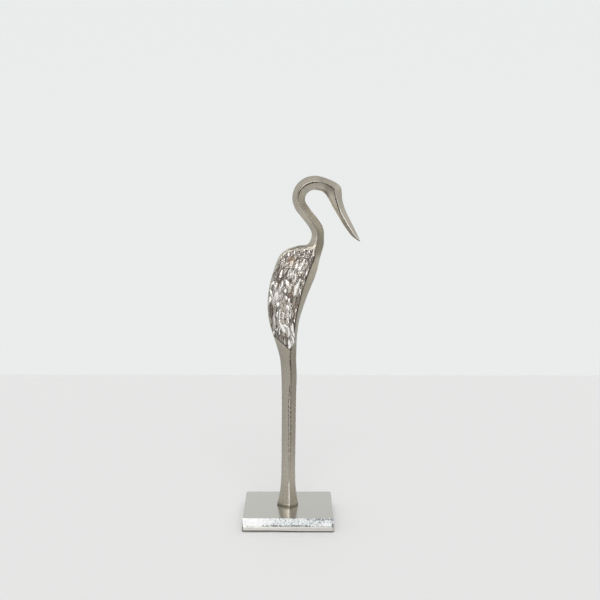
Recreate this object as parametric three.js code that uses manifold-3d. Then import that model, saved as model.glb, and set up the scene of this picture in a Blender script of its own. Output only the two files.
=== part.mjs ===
// A slim cast heron standing on a thick rectangular base plate.
// Millimetres, +Z up, +X the way the beak points, origin at the middle of the plate's underside.
//
// The heron is one casting: a foot, a straight leg, a leaf-shaped body, an S-shaped neck, a head and a long beak.
// In side view it lies between two edges, a back edge and a front edge. Across its thickness every section is a
// rounded rhombus, whose crest runs along both flanks from the foot to the tip of the beak. On the body the crest
// lies close to the chest, and the broad face behind it is the wing, with carved feathers.

import * as THREE from 'three';
import { ConvexGeometry } from 'three/addons/geometries/ConvexGeometry.js';
import { mergeVertices } from 'three/addons/utils/BufferGeometryUtils.js';
import Module from 'manifold-3d';

const wasm = await Module();
wasm.setup();

// The base plate: a smooth lower band, and above it a rough band that leans in and rounds over to the flat top.
const PLATE_WIDTH = 128;
const PLATE_DEPTH = 103;
const PLATE_HEIGHT = 20;
const PLATE_CORNER_RADIUS = 3;
const PLATE_CORNER_STEPS = 4;
const LOWER_BAND_HEIGHT = 7.2;
const UPPER_BAND_INSET = 0.5;
const UPPER_BAND_STEP = 0.2;
const UPPER_BAND_STEP_HEIGHT = 0.3;
const TOP_ROUNDING = 0.7;
const TOP_ROUNDING_STEPS = 3;

// The heron's sections: how many flat strips stand for each quarter, and how far apart the sections are.
const FRONT_STRIPS = 3;
const BACK_STRIPS = 5;
const SECTION_SPACING = 6;
const LEG_SPACING = 16;

// The bend at the top of the neck: an outer and an inner arc, each with its own centre.
const BEND_CENTRE = new THREE.Vector2(35.0, 459.5);
const BEND_BACK_RADIUS = 30.3;
const THROAT_CENTRE = new THREE.Vector2(35.5, 457.3);
const THROAT_RADIUS = 13.4;
const BEND_STEPS = 4;
const BEND_CREST = 0.42;
const BEND_HALF_THICKNESS = 8.4;

// The carved feathers.
const FEATHER_WIDTH = 6.4;
const FEATHER_LENGTH = 20;
const FEATHER_RELIEF = 1.5;
const FEATHER_ROOT_DEPTH = 1.6;
const FEATHER_ROW_PITCH = 11.6;
const WING_RIM = 4.5;
const WING_RIM_FULL = 20;
const WING_RIM_GONE = 45;
const WING_TIP_RUN = 20;
const FEATHER_STAGGER = 0.25;
const FEATHER_OVERLAP = 1.12;
const CUT_BY_HAND = { distance: 1.8, width: 0.14, length: 0.16, relief: 0.25, lean: 0.1 };

const NECK_FACE = 1;
const FLAT_FACE = 1.15;
const LEG_FACE = 1.3;
const WING_FACE = 1.6;

// One place along the bird: the back and front edge in side view (x, z), the crest's share of the way from back to
// front, half the thickness at the crest, and how full the faces behind and before the crest are (1 is flat, 2 round).
function place(back, front, crest, halfThickness, backFullness, frontFullness) {
  return {
    back: new THREE.Vector2(...back),
    front: new THREE.Vector2(...front),
    crest,
    halfThickness,
    backFullness,
    frontFullness,
  };
}

const LEG = [
  place([-16.4, PLATE_HEIGHT], [14.4, PLATE_HEIGHT], 0.58, 10.5, LEG_FACE, FLAT_FACE),
  place([-13.7, 31], [12.4, 31], 0.58, 9.3, LEG_FACE, FLAT_FACE),
  place([-11.5, 44], [10.6, 44], 0.57, 8.4, LEG_FACE, LEG_FACE),
  place([-10.2, 64], [9.7, 64], 0.56, 7.8, LEG_FACE, LEG_FACE),
  place([-9.6, 120], [10.1, 120], 0.56, 7.5, LEG_FACE, LEG_FACE),
  place([-9.5, 180], [10.8, 180], 0.56, 7.6, LEG_FACE, LEG_FACE),
  place([-10.1, 212], [11.5, 212], 0.57, 7.9, LEG_FACE, LEG_FACE),
];

const BODY = [
  place([-12.0, 235.1], [10.8, 233.0], 0.63, 8.8, 1.35, LEG_FACE),
  place([-16.3, 252.2], [11.0, 248.0], 0.7, 10.3, 1.45, FLAT_FACE),
  place([-21.5, 268.2], [11.5, 261.5], 0.84, 11.6, WING_FACE, FLAT_FACE),
  place([-26.2, 283.6], [12.7, 275.1], 0.88, 12.8, WING_FACE, FLAT_FACE),
  place([-28.8, 300.1], [14.8, 289.1], 0.89, 13.8, WING_FACE, FLAT_FACE),
  place([-29.2, 317.0], [19.2, 304.6], 0.87, 14.5, WING_FACE, FLAT_FACE),
  place([-27.6, 332.9], [24.4, 320.1], 0.85, 14.9, WING_FACE, FLAT_FACE),
  place([-24.2, 348.8], [30.1, 335.1], 0.825, 15, WING_FACE, FLAT_FACE),
  place([-19.6, 363.3], [35.9, 349.1], 0.815, 14.7, WING_FACE, FLAT_FACE),
  place([-14.7, 376.4], [39.9, 362.1], 0.825, 13.9, WING_FACE, FLAT_FACE),
  place([-8.0, 385.4], [42.6, 374.1], 0.85, 12.7, WING_FACE, FLAT_FACE),
  place([2.1, 391.0], [45.0, 383.1], 0.8, 11.4, 1.5, FLAT_FACE),
  place([14.0, 394.5], [46.9, 390.1], 0.68, 10, 1.4, FLAT_FACE),
];

const NECK = [
  place([25.8, 396.2], [48.4, 396.4], 0.53, 9, LEG_FACE, LEG_FACE),
  place([30.8, 404.4], [48.6, 404.6], 0.48, 8.5, LEG_FACE, LEG_FACE),
  place([31.3, 412.0], [48.2, 414.4], 0.46, 8.2, LEG_FACE, NECK_FACE),
  place([27.9, 419.4], [45.3, 423.2], 0.46, 8, LEG_FACE, NECK_FACE),
  place([21.9, 427.7], [38.6, 432.8], 0.49, 8, LEG_FACE, NECK_FACE),
  place([15.2, 435.9], [31.6, 441.2], 0.52, 8, LEG_FACE, NECK_FACE),
  place([9.2, 443.8], [26.1, 449.0], 0.52, 8.1, LEG_FACE, NECK_FACE),
  place([5.8, 452.1], [23.0, 454.0], 0.47, 8.2, LEG_FACE, NECK_FACE),
];

const HEAD = [
  place([45.3, 488.2], [44.5, 468.9], 0.38, 9, LEG_FACE, LEG_FACE),
  place([56.0, 484.6], [50.3, 464.6], 0.36, 9.5, LEG_FACE, LEG_FACE),
  place([64.8, 480.2], [53.0, 460.5], 0.36, 9.6, LEG_FACE, LEG_FACE),
  place([71.0, 474.9], [54.9, 457.3], 0.52, 9, LEG_FACE, LEG_FACE),
  place([72.5, 466.5], [57.0, 453.8], 0.54, 8.1, FLAT_FACE, FLAT_FACE),
];

const BEAK = [
  place([73.0, 459.0], [59.2, 449.3], 0.52, 7.1, FLAT_FACE, FLAT_FACE),
  place([75.2, 449.9], [63.1, 442.5], 0.57, 6.1, FLAT_FACE, FLAT_FACE),
  place([79.1, 439.9], [68.1, 434.5], 0.62, 5.2, FLAT_FACE, FLAT_FACE),
  place([84.7, 428.9], [74.2, 424.4], 0.61, 4.3, FLAT_FACE, FLAT_FACE),
  place([90.4, 417.7], [80.8, 415.2], 0.59, 3.4, FLAT_FACE, FLAT_FACE),
  place([95.3, 407.9], [87.2, 407.3], 0.56, 2.5, FLAT_FACE, FLAT_FACE),
  place([98.8, 401.2], [96.8, 400.5], 0.5, 0.9, FLAT_FACE, FLAT_FACE),
];

// The bend's places lie on its two arcs, from its left side to its top.
function bendPlaces() {
  const places = [];
  for (let i = 0; i <= BEND_STEPS; i++) {
    const angle = Math.PI * (1 - i / BEND_STEPS / 2);
    const ray = new THREE.Vector2(Math.cos(angle), Math.sin(angle));
    const back = ray.clone().multiplyScalar(BEND_BACK_RADIUS).add(BEND_CENTRE);
    const front = ray.clone().multiplyScalar(THROAT_RADIUS).add(THROAT_CENTRE);
    places.push(
      place(back.toArray(), front.toArray(), BEND_CREST, BEND_HALF_THICKNESS, LEG_FACE, NECK_FACE),
    );
  }
  return places;
}

const PLACES = [...LEG, ...BODY, ...NECK, ...bendPlaces(), ...HEAD, ...BEAK];

// How far along the bird each place is, measured down the middle of the side view.
const DISTANCES = PLACES.map(() => 0);
for (let i = 1; i < PLACES.length; i++) {
  const here = PLACES[i].back.clone().add(PLACES[i].front).multiplyScalar(0.5);
  const before = PLACES[i - 1].back.clone().add(PLACES[i - 1].front).multiplyScalar(0.5);
  DISTANCES[i] = DISTANCES[i - 1] + here.distanceTo(before);
}
const LENGTH = DISTANCES.at(-1);

const NUMBERS = PLACES.map((p) => [
  p.back.x, p.back.y, p.front.x, p.front.y, p.crest, p.halfThickness, p.backFullness, p.frontFullness,
]);

// A smooth curve through the places, with slopes from each place's two neighbours.
function along(distance) {
  const d = THREE.MathUtils.clamp(distance, 0, LENGTH);
  let i = 0;
  while (i < PLACES.length - 2 && DISTANCES[i + 1] < d) i++;
  const span = DISTANCES[i + 1] - DISTANCES[i];
  const t = (d - DISTANCES[i]) / span;
  const slope = (at, column) => {
    const low = Math.max(at - 1, 0);
    const high = Math.min(at + 1, PLACES.length - 1);
    return (NUMBERS[high][column] - NUMBERS[low][column]) / (DISTANCES[high] - DISTANCES[low]);
  };
  const values = NUMBERS[i].map((value, column) => {
    const next = NUMBERS[i + 1][column];
    const startPull = slope(i, column) * span;
    const endPull = slope(i + 1, column) * span;
    const bend = 3 * (next - value) - 2 * startPull - endPull;
    const twist = 2 * (value - next) + startPull + endPull;
    return value + t * (startPull + t * (bend + t * twist));
  });
  return place(values.slice(0, 2), values.slice(2, 4), ...values.slice(4));
}

// A point on the bird's skin. share runs from 0 at the crest to 1 at the front edge, or to -1 at the back edge,
// and flank is -1 for the side that is seen with the beak to the right, or 1 for the other.
function skin(section, share, flank) {
  const chord = section.front.clone().sub(section.back);
  const crestFromBack = section.crest;
  const fullness = share < 0 ? section.backFullness : section.frontFullness;
  const reach = share < 0 ? crestFromBack : 1 - crestFromBack;
  const inPlane = section.back.clone().addScaledVector(chord, crestFromBack + share * reach);
  const height = Math.max(0, 1 - Math.abs(share) ** fullness) ** (1 / fullness);
  return new THREE.Vector3(inPlane.x, flank * section.halfThickness * height, inPlane.y);
}

// The shares at which a face is divided, closer together towards the crest and the edge.
function shares(strips, fullness) {
  return Array.from({ length: strips + 1 }, (_, i) => Math.sin((i / strips) * (Math.PI / 2)) ** (2 / fullness));
}

// One closed ring of points round a section.
function ring(section) {
  const front = shares(FRONT_STRIPS, section.frontFullness);
  const back = shares(BACK_STRIPS, section.backFullness).map((share) => -share);
  return [
    ...front.slice(0, -1).map((share) => skin(section, share, -1)),
    ...front.toReversed().slice(0, -1).map((share) => skin(section, share, 1)),
    ...back.slice(0, -1).map((share) => skin(section, share, 1)),
    ...back.toReversed().slice(0, -1).map((share) => skin(section, share, -1)),
  ];
}

// A closed body from a stack of rings with equal numbers of points, capped flat at both ends.
function loft(rings) {
  const size = rings[0].length;
  const positions = rings.flat().flatMap((point) => point.toArray());
  const triangles = [];
  for (let r = 0; r < rings.length - 1; r++) {
    for (let k = 0; k < size; k++) {
      const next = (k + 1) % size;
      const [a, b] = [r * size + k, r * size + next];
      const [c, d] = [a + size, b + size];
      triangles.push(a, b, d, a, d, c);
    }
  }
  for (const [start, order] of [[0, -1], [(rings.length - 1) * size, 1]]) {
    const middle = positions.length / 3;
    const cap = rings[start / size];
    const centre = cap.reduce((sum, point) => sum.add(point), new THREE.Vector3()).divideScalar(size);
    positions.push(...centre.toArray());
    for (let k = 0; k < size; k++) {
      const edge = [start + k, start + ((k + 1) % size)];
      triangles.push(middle, ...(order > 0 ? edge : edge.toReversed()));
    }
  }
  const geometry = new THREE.BufferGeometry();
  geometry.setAttribute('position', new THREE.Float32BufferAttribute(positions, 3));
  geometry.setIndex(triangles);
  return geometry;
}

function heronRings() {
  const legEnd = DISTANCES[LEG.length - 1];
  const legSections = Math.round(legEnd / LEG_SPACING);
  const restSections = Math.round((LENGTH - legEnd) / SECTION_SPACING);
  const stops = [];
  for (let i = 0; i < legSections; i++) stops.push((legEnd * i) / legSections);
  for (let i = 0; i <= restSections; i++) stops.push(legEnd + ((LENGTH - legEnd) * i) / restSections);
  return stops.map((stop) => ring(along(stop)));
}

// Where the wing begins and ends along the bird: from just under the nape to the point of the wing on the crest.
const WING_TOP = DISTANCES[LEG.length + BODY.length - 1] - 1;
const WING_TIP = DISTANCES[LEG.length + 1] - 1;

// How far the feathers reach from the crest towards the back edge. A plain rim is left along the back edge at the
// shoulder, and the wing narrows to its point.
function wingReach(distance) {
  const section = along(distance);
  const width = section.front.distanceTo(section.back) * section.crest;
  const belowTop = WING_TOP - distance;
  const rim = WING_RIM * (1 - THREE.MathUtils.smoothstep(belowTop, WING_RIM_FULL, WING_RIM_GONE));
  const narrowing = THREE.MathUtils.clamp((distance - WING_TIP) / WING_TIP_RUN, 0, 1);
  return { reach: (1 - rim / width) * narrowing, width };
}

// The same small irregularity every time, from -1 to 1, so that the feathers look cut by hand.
function uneven(row, column, use) {
  return Math.sin(row * 12.9 + column * 78.2 + use * 37.7) * Math.cos(row * 4.1 - column * 9.7 + use * 2.3);
}

// Every feather's place on one flank: along the bird, across the wing, and its own size and lean.
function feathers() {
  const list = [];
  const rows = Math.round((WING_TOP - WING_TIP) / FEATHER_ROW_PITCH);
  for (let row = 0; row < rows; row++) {
    const distance = WING_TIP + ((row + 0.5) / rows) * (WING_TOP - WING_TIP);
    const { reach, width } = wingReach(distance);
    const count = Math.max(1, Math.round((reach * width) / FEATHER_WIDTH));
    for (let column = 0; column < count; column++) {
      const stagger = row % 2 ? FEATHER_STAGGER : -FEATHER_STAGGER;
      const room = Math.min(FEATHER_WIDTH, (reach * width) / count);
      list.push({
        distance: distance + CUT_BY_HAND.distance * uneven(row, column, 1),
        share: (-reach * (column + 0.5 + (count > 1 ? stagger : 0))) / count,
        width: room * (FEATHER_OVERLAP + CUT_BY_HAND.width * uneven(row, column, 2)),
        length: FEATHER_LENGTH * (1 + CUT_BY_HAND.length * uneven(row, column, 3)),
        relief: FEATHER_RELIEF * (1 + CUT_BY_HAND.relief * uneven(row, column, 4)),
        lean: CUT_BY_HAND.lean * uneven(row, column, 5),
      });
    }
  }
  return list;
}

// A feather is a long pointed lozenge with a crease down its middle, highest near its lower end. Its own Y runs
// down the wing and its Z points out of the skin.
function featherGeometry({ width, length, relief }) {
  const half = width / 2;
  const lowHalf = half * 0.82;
  const shoulder = -length * 0.12;
  const peak = length * 0.3;
  const points = [
    [0, -length / 2, -FEATHER_ROOT_DEPTH],
    [-half, shoulder, -FEATHER_ROOT_DEPTH],
    [half, shoulder, -FEATHER_ROOT_DEPTH],
    [-lowHalf, peak, -FEATHER_ROOT_DEPTH],
    [lowHalf, peak, -FEATHER_ROOT_DEPTH],
    [0, length / 2, -FEATHER_ROOT_DEPTH],
    [0, shoulder, relief * 0.6],
    [0, peak, relief],
  ];
  return new ConvexGeometry(points.map((point) => new THREE.Vector3(...point)));
}

// Stands a feather on the skin of one flank.
function placedFeather(feather, flank) {
  const step = 1.5;
  const shareStep = 0.04;
  const section = along(feather.distance);
  const here = skin(section, feather.share, flank);
  const down = skin(along(feather.distance - step), feather.share, flank).sub(here).normalize();
  const outward = skin(section, feather.share - shareStep, flank)
    .sub(skin(section, feather.share + shareStep, flank))
    .cross(down)
    .normalize();
  if (outward.y * flank < 0) outward.negate();
  const across = down.clone().cross(outward);
  const frame = new THREE.Matrix4().makeBasis(across, down, outward).setPosition(here);
  return featherGeometry(feather).rotateZ(feather.lean).applyMatrix4(frame);
}

// A solid that can be joined, from a closed geometry.
function solidOf(geometry) {
  const bare = geometry.clone();
  bare.deleteAttribute('normal');
  bare.deleteAttribute('uv');
  const merged = mergeVertices(bare, 1e-4);
  return new wasm.Manifold(
    new wasm.Mesh({
      numProp: 3,
      vertProperties: new Float32Array(merged.attributes.position.array),
      triVerts: new Uint32Array(merged.index.array),
    }),
  );
}

function geometryOf(solid) {
  const mesh = solid.getMesh();
  const geometry = new THREE.BufferGeometry();
  geometry.setAttribute('position', new THREE.BufferAttribute(new Float32Array(mesh.vertProperties), 3));
  geometry.setIndex(new THREE.BufferAttribute(new Uint32Array(mesh.triVerts), 1));
  geometry.computeVertexNormals();
  return geometry;
}

function heron() {
  const parts = [solidOf(loft(heronRings()))];
  for (const flank of [-1, 1]) {
    for (const feather of feathers()) parts.push(solidOf(placedFeather(feather, flank)));
  }
  const material = new THREE.MeshStandardMaterial({ color: 0xb9b3a6, roughness: 0.32, metalness: 1 });
  const mesh = new THREE.Mesh(geometryOf(wasm.Manifold.union(parts)), material);
  mesh.name = 'heron';
  return mesh;
}

// A level ring of the plate: a rectangle with round corners, drawn in from the plate's full size.
function plateRing(height, inset) {
  const radius = PLATE_CORNER_RADIUS;
  const reachX = PLATE_WIDTH / 2 - inset - radius;
  const reachY = PLATE_DEPTH / 2 - inset - radius;
  const points = [];
  for (const [corner, sideX, sideY] of [[0, 1, 1], [1, -1, 1], [2, -1, -1], [3, 1, -1]]) {
    for (let i = 0; i <= PLATE_CORNER_STEPS; i++) {
      const angle = (corner + i / PLATE_CORNER_STEPS) * (Math.PI / 2);
      points.push(
        new THREE.Vector3(
          sideX * reachX + radius * Math.cos(angle),
          sideY * reachY + radius * Math.sin(angle),
          height,
        ),
      );
    }
  }
  return points;
}

function basePlate() {
  const upperBandFoot = LOWER_BAND_HEIGHT + UPPER_BAND_STEP_HEIGHT;
  const rings = [
    plateRing(0, 0),
    plateRing(LOWER_BAND_HEIGHT, 0),
    plateRing(upperBandFoot, UPPER_BAND_STEP),
  ];
  for (let i = 0; i <= TOP_ROUNDING_STEPS; i++) {
    const angle = (i / TOP_ROUNDING_STEPS) * (Math.PI / 2);
    rings.push(
      plateRing(
        PLATE_HEIGHT - TOP_ROUNDING * (1 - Math.sin(angle)),
        UPPER_BAND_INSET + TOP_ROUNDING * (1 - Math.cos(angle)),
      ),
    );
  }
  const material = new THREE.MeshStandardMaterial({ color: 0xc4c1b8, roughness: 0.26, metalness: 1 });
  const mesh = new THREE.Mesh(loft(rings), material);
  mesh.name = 'base_plate';
  return mesh;
}

const figurine = new THREE.Group();
figurine.name = 'heron_figurine';
figurine.add(basePlate(), heron());

export default figurine;
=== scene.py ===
"""The looks of a slim cast-metal heron on a thick rectangular base plate.

The heron is one casting whose skin is rolled up from a sheet of faces, section by section, and whose wings
carry carved feathers. The base plate has a smooth lower band, a rough hammered upper band and a satin top.
Lengths are in millimetres where a name says so, and in metres otherwise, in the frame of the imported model.
"""

import math
from typing import NamedTuple

import bmesh
import bpy
from bpy.props import FloatProperty, FloatVectorProperty, PointerProperty
from mathutils import Matrix, Vector, noise
from mathutils.kdtree import KDTree


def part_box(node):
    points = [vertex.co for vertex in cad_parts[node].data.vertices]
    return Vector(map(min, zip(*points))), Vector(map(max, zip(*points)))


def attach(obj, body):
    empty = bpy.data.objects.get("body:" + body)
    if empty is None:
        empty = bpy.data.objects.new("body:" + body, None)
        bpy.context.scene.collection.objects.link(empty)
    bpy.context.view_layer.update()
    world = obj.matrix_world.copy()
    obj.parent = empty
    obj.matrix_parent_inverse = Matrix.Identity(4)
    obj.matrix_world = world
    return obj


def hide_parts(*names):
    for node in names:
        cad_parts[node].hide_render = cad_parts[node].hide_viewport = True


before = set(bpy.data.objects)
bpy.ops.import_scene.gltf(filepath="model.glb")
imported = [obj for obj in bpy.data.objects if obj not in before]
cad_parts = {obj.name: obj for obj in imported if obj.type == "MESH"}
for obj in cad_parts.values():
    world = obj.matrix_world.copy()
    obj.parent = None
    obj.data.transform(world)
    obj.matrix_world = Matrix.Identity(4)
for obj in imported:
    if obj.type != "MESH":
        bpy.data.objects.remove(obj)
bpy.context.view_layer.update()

MM = 0.001
PLATE_LOW, PLATE_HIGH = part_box("base_plate")

bl_info = {
    "name": "Cast Heron Figurine",
    "version": (1, 0, 0),
    "blender": (4, 5, 0),
    "location": "View3D > Sidebar > Heron",
    "description": "Makes a slim cast-metal heron with carved wings, its base plate and a plain studio",
    "category": "Add Mesh",
}


# The heron's form

class Place(NamedTuple):
    """One place along the bird, in millimetres, with the back and front edge as they show from the side.

    crest is the crest's share of the way from back to front. A fullness of 1 makes a face flat and 2 makes it
    round.
    """

    back_x: float
    back_z: float
    front_x: float
    front_z: float
    crest: float
    half_thickness: float
    back_fullness: float
    front_fullness: float


NECK_FACE = 1.0
FLAT_FACE = 1.15
LEG_FACE = 1.3
WING_FACE = 1.6
PLATE_TOP = PLATE_HIGH.z / MM

# Each row below gives a place's first six numbers

LEG = [
    (-16.4, PLATE_TOP, 14.4, PLATE_TOP, 0.58, 10.5),
    (-13.7, 31, 12.4, 31, 0.58, 9.3),
    (-11.5, 44, 10.6, 44, 0.57, 8.4),
    (-10.2, 64, 9.7, 64, 0.56, 7.8),
    (-9.6, 120, 10.1, 120, 0.56, 7.5),
    (-9.5, 180, 10.8, 180, 0.56, 7.6),
    (-10.1, 212, 11.5, 212, 0.57, 7.9),
]

BODY = [
    (-12.0, 235.1, 10.8, 233.0, 0.63, 8.8),
    (-16.3, 252.2, 11.0, 248.0, 0.7, 10.3),
    (-21.5, 268.2, 11.5, 261.5, 0.84, 11.6),
    (-26.2, 283.6, 12.7, 275.1, 0.88, 12.8),
    (-28.8, 300.1, 14.8, 289.1, 0.89, 13.8),
    (-29.2, 317.0, 19.2, 304.6, 0.87, 14.5),
    (-27.6, 332.9, 24.4, 320.1, 0.85, 14.9),
    (-24.2, 348.8, 30.1, 335.1, 0.825, 15),
    (-19.6, 363.3, 35.9, 349.1, 0.815, 14.7),
    (-14.7, 376.4, 39.9, 362.1, 0.825, 13.9),
    (-8.0, 385.4, 42.6, 374.1, 0.85, 12.7),
    (2.1, 391.0, 45.0, 383.1, 0.8, 11.4),
    (14.0, 394.5, 46.9, 390.1, 0.68, 10),
]

NECK = [
    (25.8, 396.2, 48.4, 396.4, 0.53, 9),
    (30.8, 404.4, 48.6, 404.6, 0.48, 8.5),
    (31.3, 412.0, 48.2, 414.4, 0.46, 8.2),
    (27.9, 419.4, 45.3, 423.2, 0.46, 8),
    (21.9, 427.7, 38.6, 432.8, 0.49, 8),
    (15.2, 435.9, 31.6, 441.2, 0.52, 8),
    (9.2, 443.8, 26.1, 449.0, 0.52, 8.1),
    (5.8, 452.1, 23.0, 454.0, 0.47, 8.2),
]

HEAD = [
    (45.3, 488.2, 44.5, 468.9, 0.38, 9),
    (56.0, 484.6, 50.3, 464.6, 0.36, 9.5),
    (64.8, 480.2, 53.0, 460.5, 0.36, 9.6),
    (71.0, 474.9, 54.9, 457.3, 0.52, 9),
    (72.5, 466.5, 57.0, 453.8, 0.54, 8.1),
]

BEAK = [
    (73.0, 459.0, 59.2, 449.3, 0.52, 7.1),
    (75.2, 449.9, 63.1, 442.5, 0.57, 6.1),
    (79.1, 439.9, 68.1, 434.5, 0.62, 5.2),
    (84.7, 428.9, 74.2, 424.4, 0.61, 4.3),
    (90.4, 417.7, 80.8, 415.2, 0.59, 3.4),
    (95.3, 407.9, 87.2, 407.3, 0.56, 2.5),
    (98.8, 401.2, 96.8, 400.5, 0.5, 0.9),
]

BEND_CENTRE = Vector((35.0, 459.5))
BEND_BACK_RADIUS = 30.3
THROAT_CENTRE = Vector((35.5, 457.3))
THROAT_RADIUS = 13.4
BEND_STEPS = 4
BEND_CREST = 0.42
BEND_HALF_THICKNESS = 8.4


def bend_places():
    """The places on the bend of the neck, from its left side to its top."""
    places = []
    for step in range(BEND_STEPS + 1):
        angle = math.pi * (1 - step / BEND_STEPS / 2)
        ray = Vector((math.cos(angle), math.sin(angle)))
        back = BEND_CENTRE + ray * BEND_BACK_RADIUS
        front = THROAT_CENTRE + ray * THROAT_RADIUS
        places.append((*back, *front, BEND_CREST, BEND_HALF_THICKNESS))
    return places


# The fullness behind and before the crest, from one place to the next that is named
FULLNESS_FROM = {
    0: (LEG_FACE, FLAT_FACE),
    2: (LEG_FACE, LEG_FACE),
    7: (1.35, LEG_FACE),
    8: (1.45, FLAT_FACE),
    9: (WING_FACE, FLAT_FACE),
    18: (1.5, FLAT_FACE),
    19: (1.4, FLAT_FACE),
    20: (LEG_FACE, LEG_FACE),
    22: (LEG_FACE, NECK_FACE),
    33: (LEG_FACE, LEG_FACE),
    37: (FLAT_FACE, FLAT_FACE),
}


def all_places():
    """The places from the foot to the tip of the beak."""
    places = []
    for at, form in enumerate([*LEG, *BODY, *NECK, *bend_places(), *HEAD, *BEAK]):
        fullness = FULLNESS_FROM[at] if at in FULLNESS_FROM else places[-1][-2:]
        places.append(Place(*form, *fullness))
    return places


PLACES = all_places()
LEG_TOP = len(LEG) - 1
NECK_START = len(LEG) + len(BODY)
BEND_START = NECK_START + len(NECK)
HEAD_START = BEND_START + BEND_STEPS + 1


def middle(place):
    """The middle of a place, as seen from the side."""
    return Vector((place.back_x + place.front_x, place.back_z + place.front_z)) / 2


def place_distances():
    """How far along the bird each place is, in millimetres, measured down the middle of the side view."""
    distances = [0.0]
    for before, here in zip(PLACES, PLACES[1:]):
        distances.append(distances[-1] + (middle(here) - middle(before)).length)
    return distances


DISTANCES = place_distances()
LENGTH = DISTANCES[-1]
LEG_END = DISTANCES[LEG_TOP]


def rows_of(kind, *rows):
    """A table with its rows as things of one kind."""
    return [kind(*row) for row in rows]


def slope(at, column):
    """How fast one number of the places changes at a place, from its two neighbours."""
    low = max(at - 1, 0)
    high = min(at + 1, len(PLACES) - 1)
    return (PLACES[high][column] - PLACES[low][column]) / (DISTANCES[high] - DISTANCES[low])


def along(distance):
    """The section at a distance along the bird, on a smooth curve through the places."""
    d = min(max(distance, 0.0), LENGTH)
    at = 0
    while at < len(PLACES) - 2 and DISTANCES[at + 1] < d:
        at += 1
    span = DISTANCES[at + 1] - DISTANCES[at]
    t = (d - DISTANCES[at]) / span
    values = []
    for column, (value, following) in enumerate(zip(PLACES[at], PLACES[at + 1])):
        start_pull = slope(at, column) * span
        end_pull = slope(at + 1, column) * span
        bend = 3 * (following - value) - 2 * start_pull - end_pull
        twist = 2 * (value - following) + start_pull + end_pull
        values.append(value + t * (start_pull + t * (bend + t * twist)))
    return Place(*values)


CREST_ROUNDING_MM = 0.45
CRISPNESS = 0.3


def skin(section, share, flank):
    """A point on the bird's skin, in millimetres.

    share runs from 0 at the crest to 1 at the front edge or -1 at the back edge. flank is -1 for the side
    that shows with the beak to the right, or 1 for the other.
    """
    back = Vector((section.back_x, section.back_z))
    chord = Vector((section.front_x, section.front_z)) - back
    fullness = section.back_fullness if share < 0 else section.front_fullness
    reach = section.crest if share < 0 else 1 - section.crest
    in_plane = back + chord * (section.crest + share * reach)
    rounding = CREST_ROUNDING_MM / max(chord.length * reach, CREST_ROUNDING_MM)
    soft = (math.hypot(share, rounding) - rounding) / (math.hypot(1, rounding) - rounding)
    crisp = 1 + (fullness - 1) * CRISPNESS
    height = max(0.0, 1 - soft ** crisp) ** (1 / fullness)
    return Vector((in_plane.x, flank * section.half_thickness * height, in_plane.y))


# The carved feathers

WING_TOP = DISTANCES[NECK_START - 1] - 1
WING_TIP = DISTANCES[LEG_TOP + 2] - 1
WING_RIM_MM = 4.5
WING_RIM_FROM_TOP_MM = (-45, -20)
WING_TIP_RUN_MM = 20
ROW_PITCH_SHARE = 0.55
GROOVE_MM = 0.55
GROOVE_DEPTH_MM = 0.55
STAGGER = 0.25
SHIFT_ACROSS = 0.16
SHIFT_ALONG_MM = 2.6
LEAN_SPREAD = 0.2
HALF_WIDTH_SHARE = 0.52
HALF_WIDTH_SPREAD = 0.14
LENGTH_SPREAD = 0.25
RELIEF_SHARE = 0.6
RELIEF_SPREAD = 0.3
HOLLOW_ABOVE = -0.1
# The polish below is partly real polish and partly a painted highlight
BRIGHT_ABOVE = 0.05
ROW_POLISH_AND_HIGHLIGHT = 0.5
DULL_POLISH_AND_HIGHLIGHT = 0.2
ROW_RIDGE = 0.45
NAPE_SHRINK = 0.5
NAPE_CORE = 0.7
SPOT_CORE = 0.6
SPOT_END = 1.3
STROKE_RELIEF = 0.7
STROKE_RIDGE = 0.8
HOLLOW_STROKE_MM = 5.5
FEATHER_WIDENS = 0.45
FEATHER_CLOSES = 0.28
LENS_SHARE = 0.55
HOLLOW_RIM_AT = 0.6
HOLLOW_RIM_WIDTH = 0.33
RIDGE_SHIFT = 0.2
SHINE_STARTS = 0.15


class Feather(NamedTuple):
    """One carved feather of the near flank, in millimetres.

    hollow and polish run from 0 to 1, and ridge is the width of the polished ridge as a share of half_width.
    The polish is partly real polish and partly a painted highlight.
    """

    centre: Vector
    across: Vector
    down: Vector
    half_width: float
    length: float
    relief: float
    hollow: float
    polish_and_highlight: float
    ridge: float


class Stroke(NamedTuple):
    """One bright stroke as it shows on the wing from the side, in millimetres and degrees: partly real polish
    and partly a painted highlight.

    lean is above 0 where its top leans towards the breast.
    """

    x: float
    z: float
    width: float
    length: float
    lean: float
    polish_and_highlight: float


# Bright strokes: partly real polish, partly painted highlights
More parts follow.
